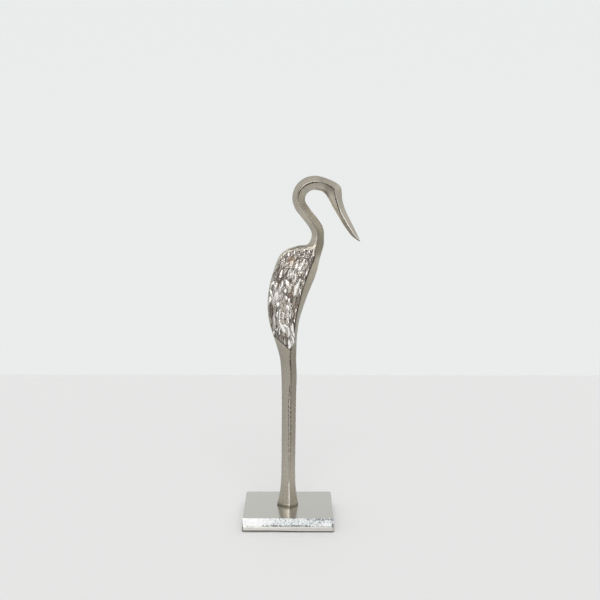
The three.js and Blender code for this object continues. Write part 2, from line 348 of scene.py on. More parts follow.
STROKES = rows_of(
    Stroke,
    (0.5, 384.5, 2.9, 8.5, 17, 1.0),
    (8.6, 385.7, 2.4, 6.5, 17, 0.8),
    (-7.9, 371.9, 6.0, 18.0, 12, 0.35),
    (-10.1, 356.3, 4.4, 13.0, 14, 1.0),
    (1.7, 356.9, 5.8, 13.0, 2, 0.9),
    (11.0, 367.4, 5.3, 8.0, 4, 0.5),
    (20.3, 372.2, 4.4, 12.0, 22, 0.5),
    (24.8, 357.9, 2.4, 8.5, 13, 0.9),
    (6.1, 355.4, 1.9, 18.0, 8, 0.6),
    (9.9, 352.1, 1.9, 14.0, 11, 0.8),
    (-2.0, 343.9, 4.9, 11.0, -26, 1.0),
    (-8.6, 342.7, 3.4, 10.0, 6, 0.9),
    (-21.0, 343.5, 4.4, 5.0, 0, 0.7),
    (12.3, 338.5, 5.0, 29.0, 19, 0.8),
    (15.9, 334.8, 2.4, 15.0, -4, 0.7),
    (-24.8, 331.2, 2.4, 9.0, -10, 0.9),
    (-25.6, 320.2, 3.9, 8.0, -9, 0.9),
    (-17.0, 325.3, 5.8, 11.0, 11, 0.9),
    (-14.1, 313.8, 2.9, 6.0, 10, 0.9),
    (-4.2, 333.3, 4.4, 6.0, 11, 0.8),
    (-2.9, 322.9, 2.4, 7.0, -14, 0.9),
    (0.8, 320.1, 2.9, 7.5, -8, 0.9),
    (-0.5, 309.4, 3.9, 7.0, -25, 1.0),
    (-11.8, 300.7, 2.2, 18.0, 2, 0.9),
    (-15.6, 299.6, 2.4, 9.5, 7, 0.9),
    (10.6, 306.0, 1.9, 6.0, 11, 0.9),
    (3.0, 299.2, 2.2, 10.0, 9, 0.9),
    (-20.0, 297.6, 2.1, 8.0, 0, 0.8),
    (-12.1, 291.6, 2.1, 9.0, 3, 1.0),
    (-8.7, 281.5, 4.4, 17.0, -30, 1.0),
    (-4.2, 283.5, 2.2, 8.0, -50, 0.7),
    (5.8, 282.5, 4.3, 13.0, -3, 1.0),
    (8.5, 291.1, 2.1, 7.0, -24, 0.7),
    (-0.6, 291.7, 2.3, 9.0, -9, 0.8),
    (-15.8, 277.5, 1.9, 5.0, 3, 1.0),
    (-20.5, 273.3, 2.5, 5.0, -12, 1.0),
    (-12.5, 276.0, 1.7, 11.0, 2, 0.7),
    (1.1, 259.3, 3.4, 18.0, -3, 1.0),
    (6.0, 265.9, 2.7, 15.0, -10, 1.0),
    (-5.1, 262.4, 2.9, 11.0, -5, 0.6),
)


class Patch(NamedTuple):
    """A part of the wing that is darker (below 0) or brighter (above 0) than the rest, and how brown it is.

    Its place and size are in millimetres of the side view.
    """

    x: float
    z: float
    half_width: float
    half_height: float
    shade: float
    brown: float


NAPE = Patch(23, 382, 12, 9, 0.0, 0.1)
PATCHES = [NAPE, *rows_of(
    Patch,
    (4, 373, 6, 7, -0.4, 0.9),
    (-12, 354, 5, 16, -0.45, 0.1),
    (-15, 322, 11, 12, 0.45, 0.0),
    (3, 331, 4, 8, -0.35, 0.75),
    (10, 306, 4, 12, -0.4, 0.6),
    (-24, 299, 3, 18, -0.5, 0.2),
    (-2, 303, 8, 14, 0.2, 0.0),
    (-7, 284, 8, 8, 0.5, 0.0),
    (4, 277, 6, 10, 0.4, 0.0),
    (-8, 264, 6, 8, -0.1, 0.3),
    (5, 256, 6, 8, 0.6, 0.0),
    (15, 363, 5, 9, 0.3, 0.0),
    (8, 347, 4, 13, 0.25, 0.0),
)]


def in_spot(point, spot, core=SPOT_CORE):
    """How much a point of the side view belongs to a soft oval spot, from 0 to 1."""
    far = math.hypot((point.x - spot.x) / spot.half_width, (point.z - spot.z) / spot.half_height)
    return 1 - smoothstep(far, core, SPOT_END)


def patch_tint(flat):
    """How much brighter and browner the wing is at a point of the side view."""
    shade = brown = 0.0
    for patch in PATCHES:
        strength = in_spot(flat, patch)
        shade += patch.shade * strength
        brown = max(brown, patch.brown * strength)
    return shade, brown


def smoothstep(value, low, high):
    """0 below low, 1 above high and a smooth rise between them."""
    t = min(max((value - low) / (high - low), 0.0), 1.0)
    return t * t * (3 - 2 * t)


def bell(offset, width):
    """1 at no offset, falling away smoothly to both sides."""
    return math.exp(-(offset / width) ** 2)


def uneven(row, column, use):
    """The same small irregularity every time, from -1 to 1, so that the feathers look cut by hand."""
    turns = math.sin(row * 12.9 + column * 78.2 + use * 37.7)
    return turns * math.cos(row * 4.1 - column * 9.7 + use * 2.3)


def face_width(section):
    """How wide the face behind the crest is, in millimetres."""
    return math.hypot(section.front_x - section.back_x, section.front_z - section.back_z) * section.crest


def wing_reach(distance):
    """How far the feather rows reach from the crest towards the back edge, as a share of the face's width."""
    rim = WING_RIM_MM * smoothstep(distance - WING_TOP, *WING_RIM_FROM_TOP_MM)
    narrowing = min(max((distance - WING_TIP) / WING_TIP_RUN_MM, 0.0), 1.0)
    return (1 - rim / face_width(along(distance))) * narrowing


def feather_axes(distance, share, lean):
    """Where a feather stands on the near flank, with its own across and down axes."""
    section = along(distance)
    here = skin(section, share, -1)
    down = (skin(along(distance - 1.5), share, -1) - here).normalized()
    sideways = skin(section, share - 0.04, -1) - skin(section, share + 0.04, -1)
    outward = sideways.cross(down).normalized()
    if outward.y > 0:
        outward.negate()
    down = Matrix.Rotation(lean, 3, outward) @ down
    return here, down.cross(outward), down


def nape_share(flat):
    """How much a point of the side view belongs to the finely pitted nape, from 0 to 1."""
    return in_spot(flat, NAPE, NAPE_CORE)


def feather_rows(settings):
    """The carved feathers of the near flank, in rows from the wing's tip to the nape, in a mixed order."""
    found = []
    width_mm = settings.feather_width / MM
    length_mm = settings.feather_length / MM
    relief_mm = settings.feather_relief / MM
    rows = round((WING_TOP - WING_TIP) / (length_mm * ROW_PITCH_SHARE))
    for row in range(rows):
        distance = WING_TIP + (row + 0.5) / rows * (WING_TOP - WING_TIP)
        reach = wing_reach(distance)
        count = max(1, round(reach * face_width(along(distance)) / width_mm))
        for column in range(count):
            own = [uneven(row, column, use) for use in range(9)]
            stagger = (STAGGER if row % 2 else -STAGGER) if count > 1 else 0
            place = column + 0.5 + stagger + SHIFT_ACROSS * own[8]
            share = -reach * place / count
            axes = feather_axes(distance + SHIFT_ALONG_MM * own[1], share, LEAN_SPREAD * own[5])
            size = 1 - NAPE_SHRINK * nape_share(side_view(axes[0]))
            found.append(Feather(
                *axes,
                width_mm * (HALF_WIDTH_SHARE + HALF_WIDTH_SPREAD * own[2]) * size,
                length_mm * (1.0 + LENGTH_SPREAD * own[3]) * size,
                relief_mm * (RELIEF_SHARE + RELIEF_SPREAD * own[4]) * size,
                float(own[6] > HOLLOW_ABOVE),
                ROW_POLISH_AND_HIGHLIGHT if own[7] > BRIGHT_ABOVE else DULL_POLISH_AND_HIGHLIGHT * (1 + own[7]),
                ROW_RIDGE,
            ))
    return sorted(found, key=lambda feather: math.sin(feather.centre.x * 91.7 + feather.centre.z * 57.3))


def stroke_feathers(settings):
    """The bright strokes as feathers that lie flat in the side view."""
    relief = settings.feather_relief / MM * STROKE_RELIEF
    found = []
    for stroke in STROKES:
        lean = math.radians(stroke.lean)
        found.append(Feather(
            Vector((stroke.x, 0, stroke.z)),
            Vector((math.cos(lean), 0, -math.sin(lean))),
            Vector((-math.sin(lean), 0, -math.cos(lean))),
            stroke.width / 2 + GROOVE_MM,
            stroke.length + 2 * GROOVE_MM,
            relief,
            float(stroke.width > HOLLOW_STROKE_MM),
            stroke.polish_and_highlight,
            STROKE_RIDGE,
        ))
    return found


def cut(feather, point):
    """How a feather shapes the skin and brightens it at a point, as (millimetres, polish with a painted
    highlight), or None beside it.
    """
    offset = point - feather.centre
    y = offset.dot(feather.down) / feather.length + 0.5
    if not 0 < y < 1:
        return None
    x = offset.dot(feather.across)
    closing = max(0.0, y - (1 - FEATHER_CLOSES)) / FEATHER_CLOSES
    rounding = math.sqrt(max(0.0, 1 - closing ** 2))
    half = feather.half_width * min(1.0, (y / FEATHER_WIDENS) ** 0.7) * rounding
    if abs(x) >= half:
        return None
    from_edge = half - abs(x)
    groove = bell(from_edge, GROOVE_MM)
    inner = min(1.0, from_edge / (LENS_SHARE * feather.half_width))
    lens = inner * (2 - inner)
    rim = bell(inner - HOLLOW_RIM_AT, HOLLOW_RIM_WIDTH)
    body = lens + (0.35 * lens + 0.65 * rim - lens) * feather.hollow
    # The bright ridge, a little off the middle, is partly polish and partly a painted highlight
    ridge = bell(x / half + RIDGE_SHIFT, feather.ridge)
    starting = min(1.0, y / SHINE_STARTS)
    shine = (ridge + (rim - ridge) * feather.hollow) * starting * min(1.0, from_edge / GROOVE_MM)
    rise = 0.35 + 0.65 * smoothstep(y, 0.0, 0.8)
    return feather.relief * rise * body - GROOVE_DEPTH_MM * groove, feather.polish_and_highlight * shine


def feather_finder(feathers):
    """A function that gives the cut at a point, from the first feather in the list that covers it."""
    tree = KDTree(len(feathers))
    for at, feather in enumerate(feathers):
        tree.insert(feather.centre, at)
    tree.balance()
    reach = max(feather.length for feather in feathers) / 2

    def found(point):
        for at in sorted(near[1] for near in tree.find_range(point, reach)):
            shape = cut(feathers[at], point)
            if shape:
                return shape
        return None

    return found


def side_view(point):
    """A point as it shows from the side, on the middle plane."""
    return Vector((point.x, 0, point.z))


# Shapes from sheets

def roll_up(around, stations, point_at):
    """A closed skin from a sheet of faces rolled into a tube.

    point_at(station, turn) gives each corner's place, in millimetres.
    """
    bm = bmesh.new()
    bmesh.ops.create_grid(bm, x_segments=around, y_segments=stations, size=0.5)
    for vert in bm.verts:
        turn = round((vert.co.x + 0.5) * around)
        station = round((vert.co.y + 0.5) * stations)
        vert.co = point_at(station, turn) * MM
    bmesh.ops.remove_doubles(bm, verts=bm.verts, dist=1e-7)
    for face in bm.faces:
        face.smooth = True
    rims = [edge for edge in bm.edges if edge.is_boundary]
    caps = bmesh.ops.holes_fill(bm, edges=rims, sides=0)["faces"]
    for face in caps:
        face.smooth = False
    bmesh.ops.recalc_face_normals(bm, faces=bm.faces)
    return bm


def new_layers(bm, names):
    """A value at every corner of the skin for each name, which the piece's material reads."""
    return {name: bm.verts.layers.float.new(name) for name in names}


def finished(bm, name, node, material):
    """Makes the object, puts it in the scene and lets it stand for its node."""
    mesh = bpy.data.meshes.new(name)
    bm.to_mesh(mesh)
    bm.free()
    piece = bpy.data.objects.new(name, mesh)
    piece.data.materials.append(material)
    bpy.context.scene.collection.objects.link(piece)
    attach(piece, "root")
    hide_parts(node)
    return piece


# The casting

FRONT_FACES = 14
BACK_FACES = 86
BACK_CROWDING = 0.06
LEG_SPACING_MM = 4.5
TAIL_SPACING_MM = 2.0
WING_SPACING_MM = 0.5
NECK_SPACING_MM = 2.2
WING_MARGIN_MM = 3
OUTLINE_STEP_MM = 0.8
OUTLINE_PAST_TOP_MM = 14
BORDER_PAST_TOP_MM = 12
BORDER_SHARE = 0.75

RIM_AT_BACK_MM = 0.5
RIM_AT_SHOULDER_MM = 4.6
RIM_WIDENS_Z = (362, 386)
RIM_LUMPS_MM = 0.6
RIM_LUMPS_SCALE = 0.35
RIM_LUMPS_Z = (368, 384)
RIM_ENDS_FROM_TOP_MM = (-3, 6)
RIM_RISE_MM = 0.6
RIM_SHARES = (0.1, 0.3)
RIM_EDGE_SHARES = (0.9, 1.0)
RIM_EDGE_PAINTED_HIGHLIGHT = 1.5
TIP_SPREAD_MM = 3.0
TIP_SPREAD_Z = (250, 255)
TIP_SPREAD_ENDS_Z = (270, 277)
TIP_BORDER_HIGH = Vector((-19.9, 0, 267.2))
TIP_BORDER_LOW = Vector((1.1, 0, 249.6))
WING_TOP_Z = 389.8
BORDER_GROOVE_MM = 0.5
BORDER_GROOVE_WIDTH_MM = 0.45
BORDER_GROOVE_FADES_Z = (368, 380)
BORDER_LINE_MM = 0.5
BORDER_LINE_WIDTH_MM = 0.55
SHOULDER_BORDER_Z = (370, 384)
# How dark the painted shade in the border's groove is, part by part
SHOULDER_BORDER = 0.3
BACK_BORDER = 0.25
TIP_BORDER = 0.85
TOP_BORDER = 0.1
CREST_BORDER = 0.9
TIP_SPREAD_BORDER = 0.8

WING_BED_MM = 0.3
BED_POLISH_AND_HIGHLIGHT = 0.12
BED_LEVEL = 0.35
SKIN_WAVE_MM = 0.08
SKIN_WAVE_SCALE = 0.07
CALM_WAVE = 0.8
WOBBLE_MM = 0.9
WOBBLE_SCALE = 0.3
WOBBLE_SEED = 2
CHISEL_MM = 0.3
CHISEL_SCALE_X = 1.1
CHISEL_SCALE_Z = 0.25
DENTS_MM = 0.2
DENTS_SCALE = 0.6
PITS_MM = 0.6
PITS_SCALE = 0.75
PITS_POLISH_AND_HIGHLIGHT = 0.5

CREST_BLEND_MM = 0.4
CREST_SHADOW_MM = (1.0, 6.0)
FRONT_EDGE_SHARES = (0.15, 0.8)
OUTLINE_SHADE_SHARES = (0.45, 0.95)
TWIN_MM = 1.5
CREST_PAINTED_SHADE = 0.4
CREST_SHADE_BEHIND_MM = 1.2
CREST_SHADE_WIDTH_MM = 0.9
LEG_CALM = 0.45
NAPE_CORNER = Vector((33.5, 0, 392))
NAPE_CORNER_MM = 4.5
NAPE_CORNER_PAINTED_SHADE = 0.32


class CrestMark(NamedTuple):
    """What is painted along the crest at one place of the bird, from 0 to 1 apart from the millimetres.

    Its numbers are a painted dark reflection along the crest and half its width in millimetres, how far that
    line parts into two lines with painted glints between them, a painted highlight and how far behind the
    crest it lies in millimetres, a painted shadow just before the crest, and how far before the crest the
    dark line lies in millimetres.
    """

    place: int
    seam: float
    half_mm: float
    twin: float
    painted_crest_highlight: float
    highlight_mm: float
    painted_crest_shadow: float
    dark_line_mm: float = 0.45


# Painted dark lines, glints, highlights and shadows along the crest, place by place
CREST_MARKS = rows_of(
    CrestMark,
    (0, 0.0, 0.5, 0.0, 1.0, 0.0, 0.0),
    (2, 0.0, 0.5, 0.0, 0.9, 0.0, 0.0),
    (3, 0.1, 0.5, 0.3, 0.1, 0.0, 0.0),
    (4, 0.5, 0.4, 1.0, 0.0, 0.0, 0.0),
    (5, 0.75, 0.4, 1.0, 0.0, 0.0, 0.0, -0.1),
    (6, 0.4, 0.45, 0.2, 0.0, 0.0, 0.0, 1.8),
    (7, 0.7, 1.0, 0.0, 0.0, 0.0, 0.0, 0.0),
    (8, 0.6, 0.8, 0.0, 0.0, 0.0, 0.0),
    (9, 0.0, 0.6, 0.0, 0.0, 0.0, 0.0),
    (18, 0.0, 0.6, 0.0, 0.0, 2.4, 0.0),
    (19, 0.1, 0.5, 0.0, 0.25, 3.0, 0.0),
    (20, 0.1, 0.5, 0.0, 0.45, 2.3, 0.0),
    (21, 0.1, 0.5, 0.0, 0.4, 1.5, 0.0),
    (22, 0.25, 0.5, 0.0, 0.1, 1.2, 0.0, 1.0),
    (23, 0.4, 0.6, 0.0, 0.0, 1.0, 0.0, -0.3),
    (25, 0.35, 0.8, 0.0, 0.0, 1.0, 0.0, 0.0),
    (27, 0.35, 0.8, 0.0, 0.0, 1.0, 0.0, 0.4),
    (28, 0.4, 0.6, 0.0, 0.0, 1.0, 0.0, 0.9),
    (29, 0.95, 0.6, 0.0, 0.0, 1.0, 0.0, 0.6),
    (30, 0.95, 0.6, 0.0, 0.0, 1.0, 0.0, 1.2),
    (31, 0.95, 0.65, 0.0, 0.0, 1.0, 0.0, 1.5),
    (32, 0.9, 0.6, 0.0, 0.0, 1.0, 0.0, 1.0),
    (33, 0.45, 0.6, 0.0, 0.0, 1.0, 0.0, 0.3),
    (35, 0.85, 0.7, 0.0, 0.0, 1.0, 0.4),
    (36, 0.75, 0.6, 0.0, 0.3, 1.1, 0.1),
    (38, 1.0, 0.6, 0.0, 0.35, 1.0, 0.0),
    (39, 1.0, 0.6, 0.0, 0.45, 1.0, 0.0),
    (40, 0.6, 0.5, 0.0, 0.8, 1.1, 0.0),
    (44, 0.5, 0.5, 0.0, 0.8, 1.0, 0.2),
)


class FaceShading(NamedTuple):
    """How bright the metal is painted at one place of the bird, where 1 is the plain metal: painted light and
    shade on its faces.

    back is the painted shading behind the crest, front just before the crest, and front_edge at the front
    edge.
    """

    place: int
    back: float
    front: float
    front_edge: float


# Painted light and shade on the faces, place by place: lit faces above 1, shaded ones below
FACE_SHADINGS = rows_of(
    FaceShading,
    (0, 1.0, 1.08, 1.45),
    (1, 1.05, 1.1, 1.05),
    (2, 0.93, 0.92, 0.92),
    (3, 1.0, 1.0, 1.03),
    (4, 0.9, 0.77, 0.8),
    (5, 0.88, 0.75, 0.74),
    (6, 0.88, 0.72, 0.76),
    (7, 0.81, 0.77, 0.73),
    (8, 0.86, 0.72, 0.68),
    (9, 1.05, 0.75, 0.75),
    (10, 1.2, 0.58, 0.58),
    (11, 1.2, 0.58, 0.58),
    (12, 1.2, 0.76, 0.76),
    (14, 1.15, 0.82, 0.82),
    (16, 1.1, 1.0, 1.0),
    (17, 0.95, 0.95, 1.0),
    (18, 0.9, 0.72, 0.74),
    (19, 0.76, 0.7, 0.72),
    (20, 0.83, 0.69, 0.75),
    (21, 1.05, 0.74, 0.83),
    (22, 0.9, 0.74, 1.15),
    (23, 0.93, 0.8, 1.1),
    (24, 1.02, 0.93, 1.25),
    (25, 1.08, 1.22, 1.5),
    (27, 0.93, 1.13, 1.75),
    (28, 0.9, 1.12, 1.3),
    (29, 0.88, 1.08, 1.25),
    (30, 0.83, 0.9, 0.95),
    (32, 0.86, 1.03, 1.2),
    (33, 0.71, 0.83, 1.35),
    (34, 0.8, 0.66, 0.68),
    (35, 0.86, 0.7, 1.05),
    (36, 1.17, 1.05, 1.5),
    (38, 1.14, 1.15, 1.62),
    (39, 1.14, 1.4, 1.7),
    (40, 1.12, 1.75, 1.5),
    (41, 1.14, 1.18, 1.3),
    (42, 1.08, 1.0, 1.25),
    (44, 1.05, 0.86, 0.9),
)


def between(rows, distance):
    """A row between the two rows of a table whose places lie to either side of a distance along the bird."""
    after = next((row for row in rows if DISTANCES[row.place] >= distance), rows[-1])
    before = rows[max(rows.index(after) - 1, 0)]
    span = DISTANCES[after.place] - DISTANCES[before.place]
    t = (distance - DISTANCES[before.place]) / span if span else 0.0
    return type(after)(*[low + (high - low) * t for low, high in zip(before, after)])


def risen(distance, start, end):
    """0 before the place numbered start, 1 after the one numbered end and a smooth rise between them."""
    return smoothstep(distance, DISTANCES[start], DISTANCES[end])


def station_distances():
    """The distances along the bird at which its skin has a ring of corners, closest together on the wing."""
    stops = [0.0]
    for end, spacing in (
        (LEG_END, LEG_SPACING_MM),
        (WING_TIP - WING_MARGIN_MM, TAIL_SPACING_MM),
        (WING_TOP + WING_MARGIN_MM, WING_SPACING_MM),
        (LENGTH, NECK_SPACING_MM),
    ):
        start = stops[-1]
        steps = round((end - start) / spacing)
        stops += [start + (end - start) * (step + 1) / steps for step in range(steps)]
    return stops


def ring_shares():
    """Where the corners of a ring lie, as (share, flank), from the front edge round the bird and back."""
    front = [math.sin(k / FRONT_FACES * math.pi / 2) ** 1.5 for k in range(FRONT_FACES + 1)]
    back = []
    for k in range(BACK_FACES + 1):
        back.append(k / BACK_FACES - BACK_CROWDING * math.sin(2 * math.pi * k / BACK_FACES))
    near = [(share, -1) for share in reversed(front)] + [(-share, -1) for share in back[1:]]
    far = [(-share, 1) for share in reversed(back[:-1])] + [(share, 1) for share in front[1:]]
    return near + far


def outline_tree():
    """The back edge of the wing as points to measure from."""
    count = int((WING_TOP + OUTLINE_PAST_TOP_MM - WING_TIP) / OUTLINE_STEP_MM)
    tree = KDTree(count)
    for at in range(count):
        section = along(WING_TIP + at * OUTLINE_STEP_MM)
        tree.insert((section.back_x, 0, section.back_z), at)
    tree.balance()
    return tree


def tip_spread(flat):
    """How far the carving near the wing's tip goes on over the crest, from 0 to 1."""
    return smoothstep(flat.z, *TIP_SPREAD_Z) * (1 - smoothstep(flat.z, *TIP_SPREAD_ENDS_Z))


def wing_border(flat, behind_mm, outline):
    """How far inside the wing's border a point of the side view lies, in millimetres, and how dark the
    painted shade in the groove along the border is there.

    behind_mm is how far behind the crest the point lies.
    """
    widening = smoothstep(flat.z, *RIM_WIDENS_Z)
    rim = RIM_AT_BACK_MM + (RIM_AT_SHOULDER_MM - RIM_AT_BACK_MM) * widening
    border = (TIP_BORDER_LOW - TIP_BORDER_HIGH).normalized()
    inward = Vector((-border.z, 0, border.x))
    spread = tip_spread(flat)
    return min(
        (outline.find(flat)[2] - rim, BACK_BORDER + SHOULDER_BORDER * smoothstep(flat.z, *SHOULDER_BORDER_Z)),
        ((flat - TIP_BORDER_HIGH).dot(inward), TIP_BORDER),
        (WING_TOP_Z - flat.z, TOP_BORDER),
        (behind_mm + TIP_SPREAD_MM * spread, CREST_BORDER - TIP_SPREAD_BORDER * spread),
    )


def crest_values(distance, share, before_mm, flat):
    """What the heron's metal shows along and across the bird, by name: mostly painted light and shade, as the
    shading of the faces, a shade towards the outline, and a painted shadow, dark line and highlights along
    the crest.

    before_mm is how far before the crest the point lies.
    """
    mark = between(CREST_MARKS, distance)
    painted_face_shading = between(FACE_SHADINGS, distance)
    side = smoothstep(before_mm, -CREST_BLEND_MM, CREST_BLEND_MM)
    front = painted_face_shading.front + (painted_face_shading.front_edge - painted_face_shading.front) * smoothstep(share, *FRONT_EDGE_SHARES)
    on_bend = risen(distance, BEND_START, BEND_START + 1)
    on_bend *= 1 - risen(distance, HEAD_START - 2, HEAD_START - 1)
    # Painted shade: the rounded crest on the bend and the back face at the nape corner are darkened
    dull = CREST_PAINTED_SHADE * on_bend * bell(before_mm + CREST_SHADE_BEHIND_MM, CREST_SHADE_WIDTH_MM)
    corner = NAPE_CORNER_PAINTED_SHADE * bell((flat - NAPE_CORNER).length, NAPE_CORNER_MM) * (1 - side)
    calm = max(
        side * risen(distance, NECK_START + 2, NECK_START + 4),
        risen(distance, HEAD_START, HEAD_START + 3),
        LEG_CALM * (1 - risen(distance, LEG_TOP, LEG_TOP + 3)),
    )
    return {
        # painted light and shade on the faces
        "painted_face_shading": (painted_face_shading.back + (front - painted_face_shading.back) * side) * (1 - dull) * (1 - corner),
        "front": side,
        # painted shade towards the outline
        "edge": smoothstep(abs(share), *OUTLINE_SHADE_SHARES),
        "calm": calm,
        "painted_crest_shadow": mark.painted_crest_shadow * side * (1 - smoothstep(before_mm, *CREST_SHADOW_MM)),
        "dark_line_mm": before_mm - mark.dark_line_mm,
        "seam": mark.seam,
        "half_mm": mark.half_mm,
        "twin": mark.twin,
        "highlight_line_mm": before_mm + mark.highlight_mm,
        "painted_crest_highlight": mark.painted_crest_highlight,
    }


def border_values(distance, share, flat, inset, darkness):
    """What the wing's border and the shoulder's rim beyond it show, by name: a painted shade in the groove
    along the border, and a painted shade on the rim with a painted highlight at its outer edge.
    """
    on_rim = smoothstep(-inset, 0.0, RIM_RISE_MM) * smoothstep(flat.z, *RIM_LUMPS_Z)
    on_rim *= smoothstep(-share, *RIM_SHARES)
    on_rim *= 1 - smoothstep(distance - WING_TOP, *RIM_ENDS_FROM_TOP_MM)
    return {
        "border": darkness * bell(inset - BORDER_LINE_MM, BORDER_LINE_WIDTH_MM),
        "lumps": on_rim,
        "rim": on_rim * (1 - RIM_EDGE_PAINTED_HIGHLIGHT * smoothstep(-share, *RIM_EDGE_SHARES)),
    }


def carved_values(point, inset, full_relief, stroke_at, feather_at):
    """What a carved point of the wing shows, by name, and how far it is lifted, in millimetres."""
    flat = side_view(point)
    near_point = Vector((point.x, -abs(point.y), point.z))
    near_point += WOBBLE_MM * noise.noise_vector(flat * WOBBLE_SCALE)
    # The polish is partly real polish and partly a painted highlight
    relief, polish_and_highlight = stroke_at(side_view(near_point)) or feather_at(near_point) or (0.0, BED_POLISH_AND_HIGHLIGHT)
    chisel = noise.noise(Vector((flat.x * CHISEL_SCALE_X, 3.0, flat.z * CHISEL_SCALE_Z)))
    dents = noise.fractal(point * DENTS_SCALE, 0.8, 2.0, 3)
    relief += CHISEL_MM * chisel + DENTS_MM * dents
    nape = nape_share(flat)
    pits = noise.noise(point * PITS_SCALE)
    relief += PITS_MM * nape * pits
    polish_and_highlight += PITS_POLISH_AND_HIGHLIGHT * nape * smoothstep(pits, 0.0, 0.35)
    mask = smoothstep(inset, 0.0, 1.0)
    shade, brown = patch_tint(flat)
    groove = BORDER_GROOVE_MM * (1 - 0.8 * smoothstep(flat.z, *BORDER_GROOVE_FADES_Z))
    lift = mask * (relief - WING_BED_MM) - groove * bell(inset - 0.6, BORDER_GROOVE_WIDTH_MM)
    values = {
        "wing": mask,
        "polish_and_highlight": polish_and_highlight * mask,
        "shade": shade * mask,
        "brown": brown * mask,
        "carving": min(max(BED_LEVEL + relief / full_relief, 0.0), 1.0),
    }
    return values, lift


HERON_VALUES = (
    "painted_face_shading", "front", "edge", "calm", "painted_crest_shadow", "dark_line_mm", "seam", "half_mm", "twin", "highlight_line_mm", "painted_crest_highlight",
    "border", "rim", "wing", "polish_and_highlight", "shade", "brown", "carving",
)


def heron_skin(settings):
    """The heron's closed skin with its carved wings, as a bmesh."""
    stops = station_distances()
    sections = [along(stop) for stop in stops]
    shares = ring_shares()
    where = {}

    def point_at(station, turn):
        share, flank = shares[turn]
        point = skin(sections[station], share, flank)
        where[(point * MM).freeze()] = (station, share)
        return point

    bm = roll_up(len(shares) - 1, len(stops) - 1, point_at)
    bm.normal_update()
    noise.seed_set(WOBBLE_SEED)
    layers = new_layers(bm, HERON_VALUES)
    feather_at = feather_finder(feather_rows(settings))
    stroke_at = feather_finder(stroke_feathers(settings))
    outline = outline_tree()
    full_relief = settings.feather_relief / MM
    for vert in bm.verts:
        point = vert.co / MM
        flat = side_view(point)
        station, share = where[vert.co.copy().freeze()]
        distance = stops[station]
        width = face_width(sections[station])
        if share > 0:
            width *= 1 / sections[station].crest - 1
        inset, darkness = -1.0, 0.0
        if share <= BORDER_SHARE and distance < WING_TOP + BORDER_PAST_TOP_MM:
            inset, darkness = wing_border(flat, -share * width, outline)
        values = crest_values(distance, share, share * width, flat)
        values |= border_values(distance, share, flat, inset, darkness)
        values["carving"] = 1.0
        wave = noise.fractal(point * SKIN_WAVE_SCALE, 1.0, 2.0, 3)
        lift = SKIN_WAVE_MM * (1 - CALM_WAVE * values["calm"]) * wave
        lift += RIM_LUMPS_MM * values.pop("lumps") * noise.noise(point * RIM_LUMPS_SCALE)
        if inset > 0:
            carved, lift = carved_values(point, inset, full_relief, stroke_at, feather_at)
            values |= carved
        for name, value in values.items():
            vert[layers[name]] = value
        vert.co += vert.normal * lift * MM
    return bm


# The base plate

LOWER_BAND_MM = 7.2
LOWER_ROUNDING_MM = 0.4
UPPER_INSET_MM = 0.5
STEP_INSET_MM = 0.2
TOP_ROUNDING_MM = 0.6
CORNER_MM = 3.0
UNDER_INSET_MM = 0.3
UNDER_CHAMFER_MM = 1.3
UNDER_RINGS = ((0, 1), (0.75, 0.15), (1, 0), (1.5, 0), (2.2, 0))
# Where the painted contact shadow line lies on the left and on the right
SHADOW_LINE_LEFT_MM = 1.9
SHADOW_LINE_RIGHT_MM = 0.8
GROOVE_INSET_MM = 0.8
GROOVE_TOP_MM = 7.8
GROOVE_STEP_MM = 0.15
BAND_ROUGHNESS_MM = 0.25
BAND_DENT_SCALE = 0.45
MEAN_DENT = 0.4
BAND_ROWS = 20
TOP_ROWS = 6
PLATE_EDGE_SPACING_MM = 0.62


class Level(NamedTuple):
    """One outline of the plate, in millimetres, with its shares of the rough upper band and the lower one."""

    height: float
    inset: float
    rough: float
    lower: float


def plate_levels():
    """The plate's profile from the underside to the top."""
    levels = [Level(UNDER_CHAMFER_MM * rise, UNDER_INSET_MM * inset, 0.0, 1.0) for rise, inset in UNDER_RINGS]
    levels += [
        Level(LOWER_BAND_MM - LOWER_ROUNDING_MM, 0.0, 0.0, 1.0),
        Level(LOWER_BAND_MM - LOWER_ROUNDING_MM / 4, 0.15, 0.0, 1.0),
        Level(LOWER_BAND_MM, GROOVE_INSET_MM, 0.2, 0.3),
        Level(GROOVE_TOP_MM, GROOVE_INSET_MM, 0.5, 0.0),
    ]
    rim = PLATE_TOP - TOP_ROUNDING_MM
    for row in range(BAND_ROWS + 1):
        t = row / BAND_ROWS
        inset = STEP_INSET_MM + (UPPER_INSET_MM - STEP_INSET_MM) * t
        height = GROOVE_TOP_MM + GROOVE_STEP_MM + (rim - GROOVE_TOP_MM - GROOVE_STEP_MM) * t
        levels.append(Level(height, inset, 1.0, 0.0))
    for row in range(1, TOP_ROWS + 1):
        angle = row / TOP_ROWS * math.pi / 2
        inset = UPPER_INSET_MM + TOP_ROUNDING_MM * (1 - math.cos(angle))
        levels.append(Level(rim + TOP_ROUNDING_MM * math.sin(angle), inset, math.cos(angle), 0.0))
    return levels


class BandShading(NamedTuple):
    """A part of the plate's front edge that is painted darker (above 0) or lighter (below 0), in millimetres:
    painted shade on the corner facets and along the groove, and other darker and lighter marks.
    """

    x: float
    z: float
    half_width: float
    half_height: float
    strength: float


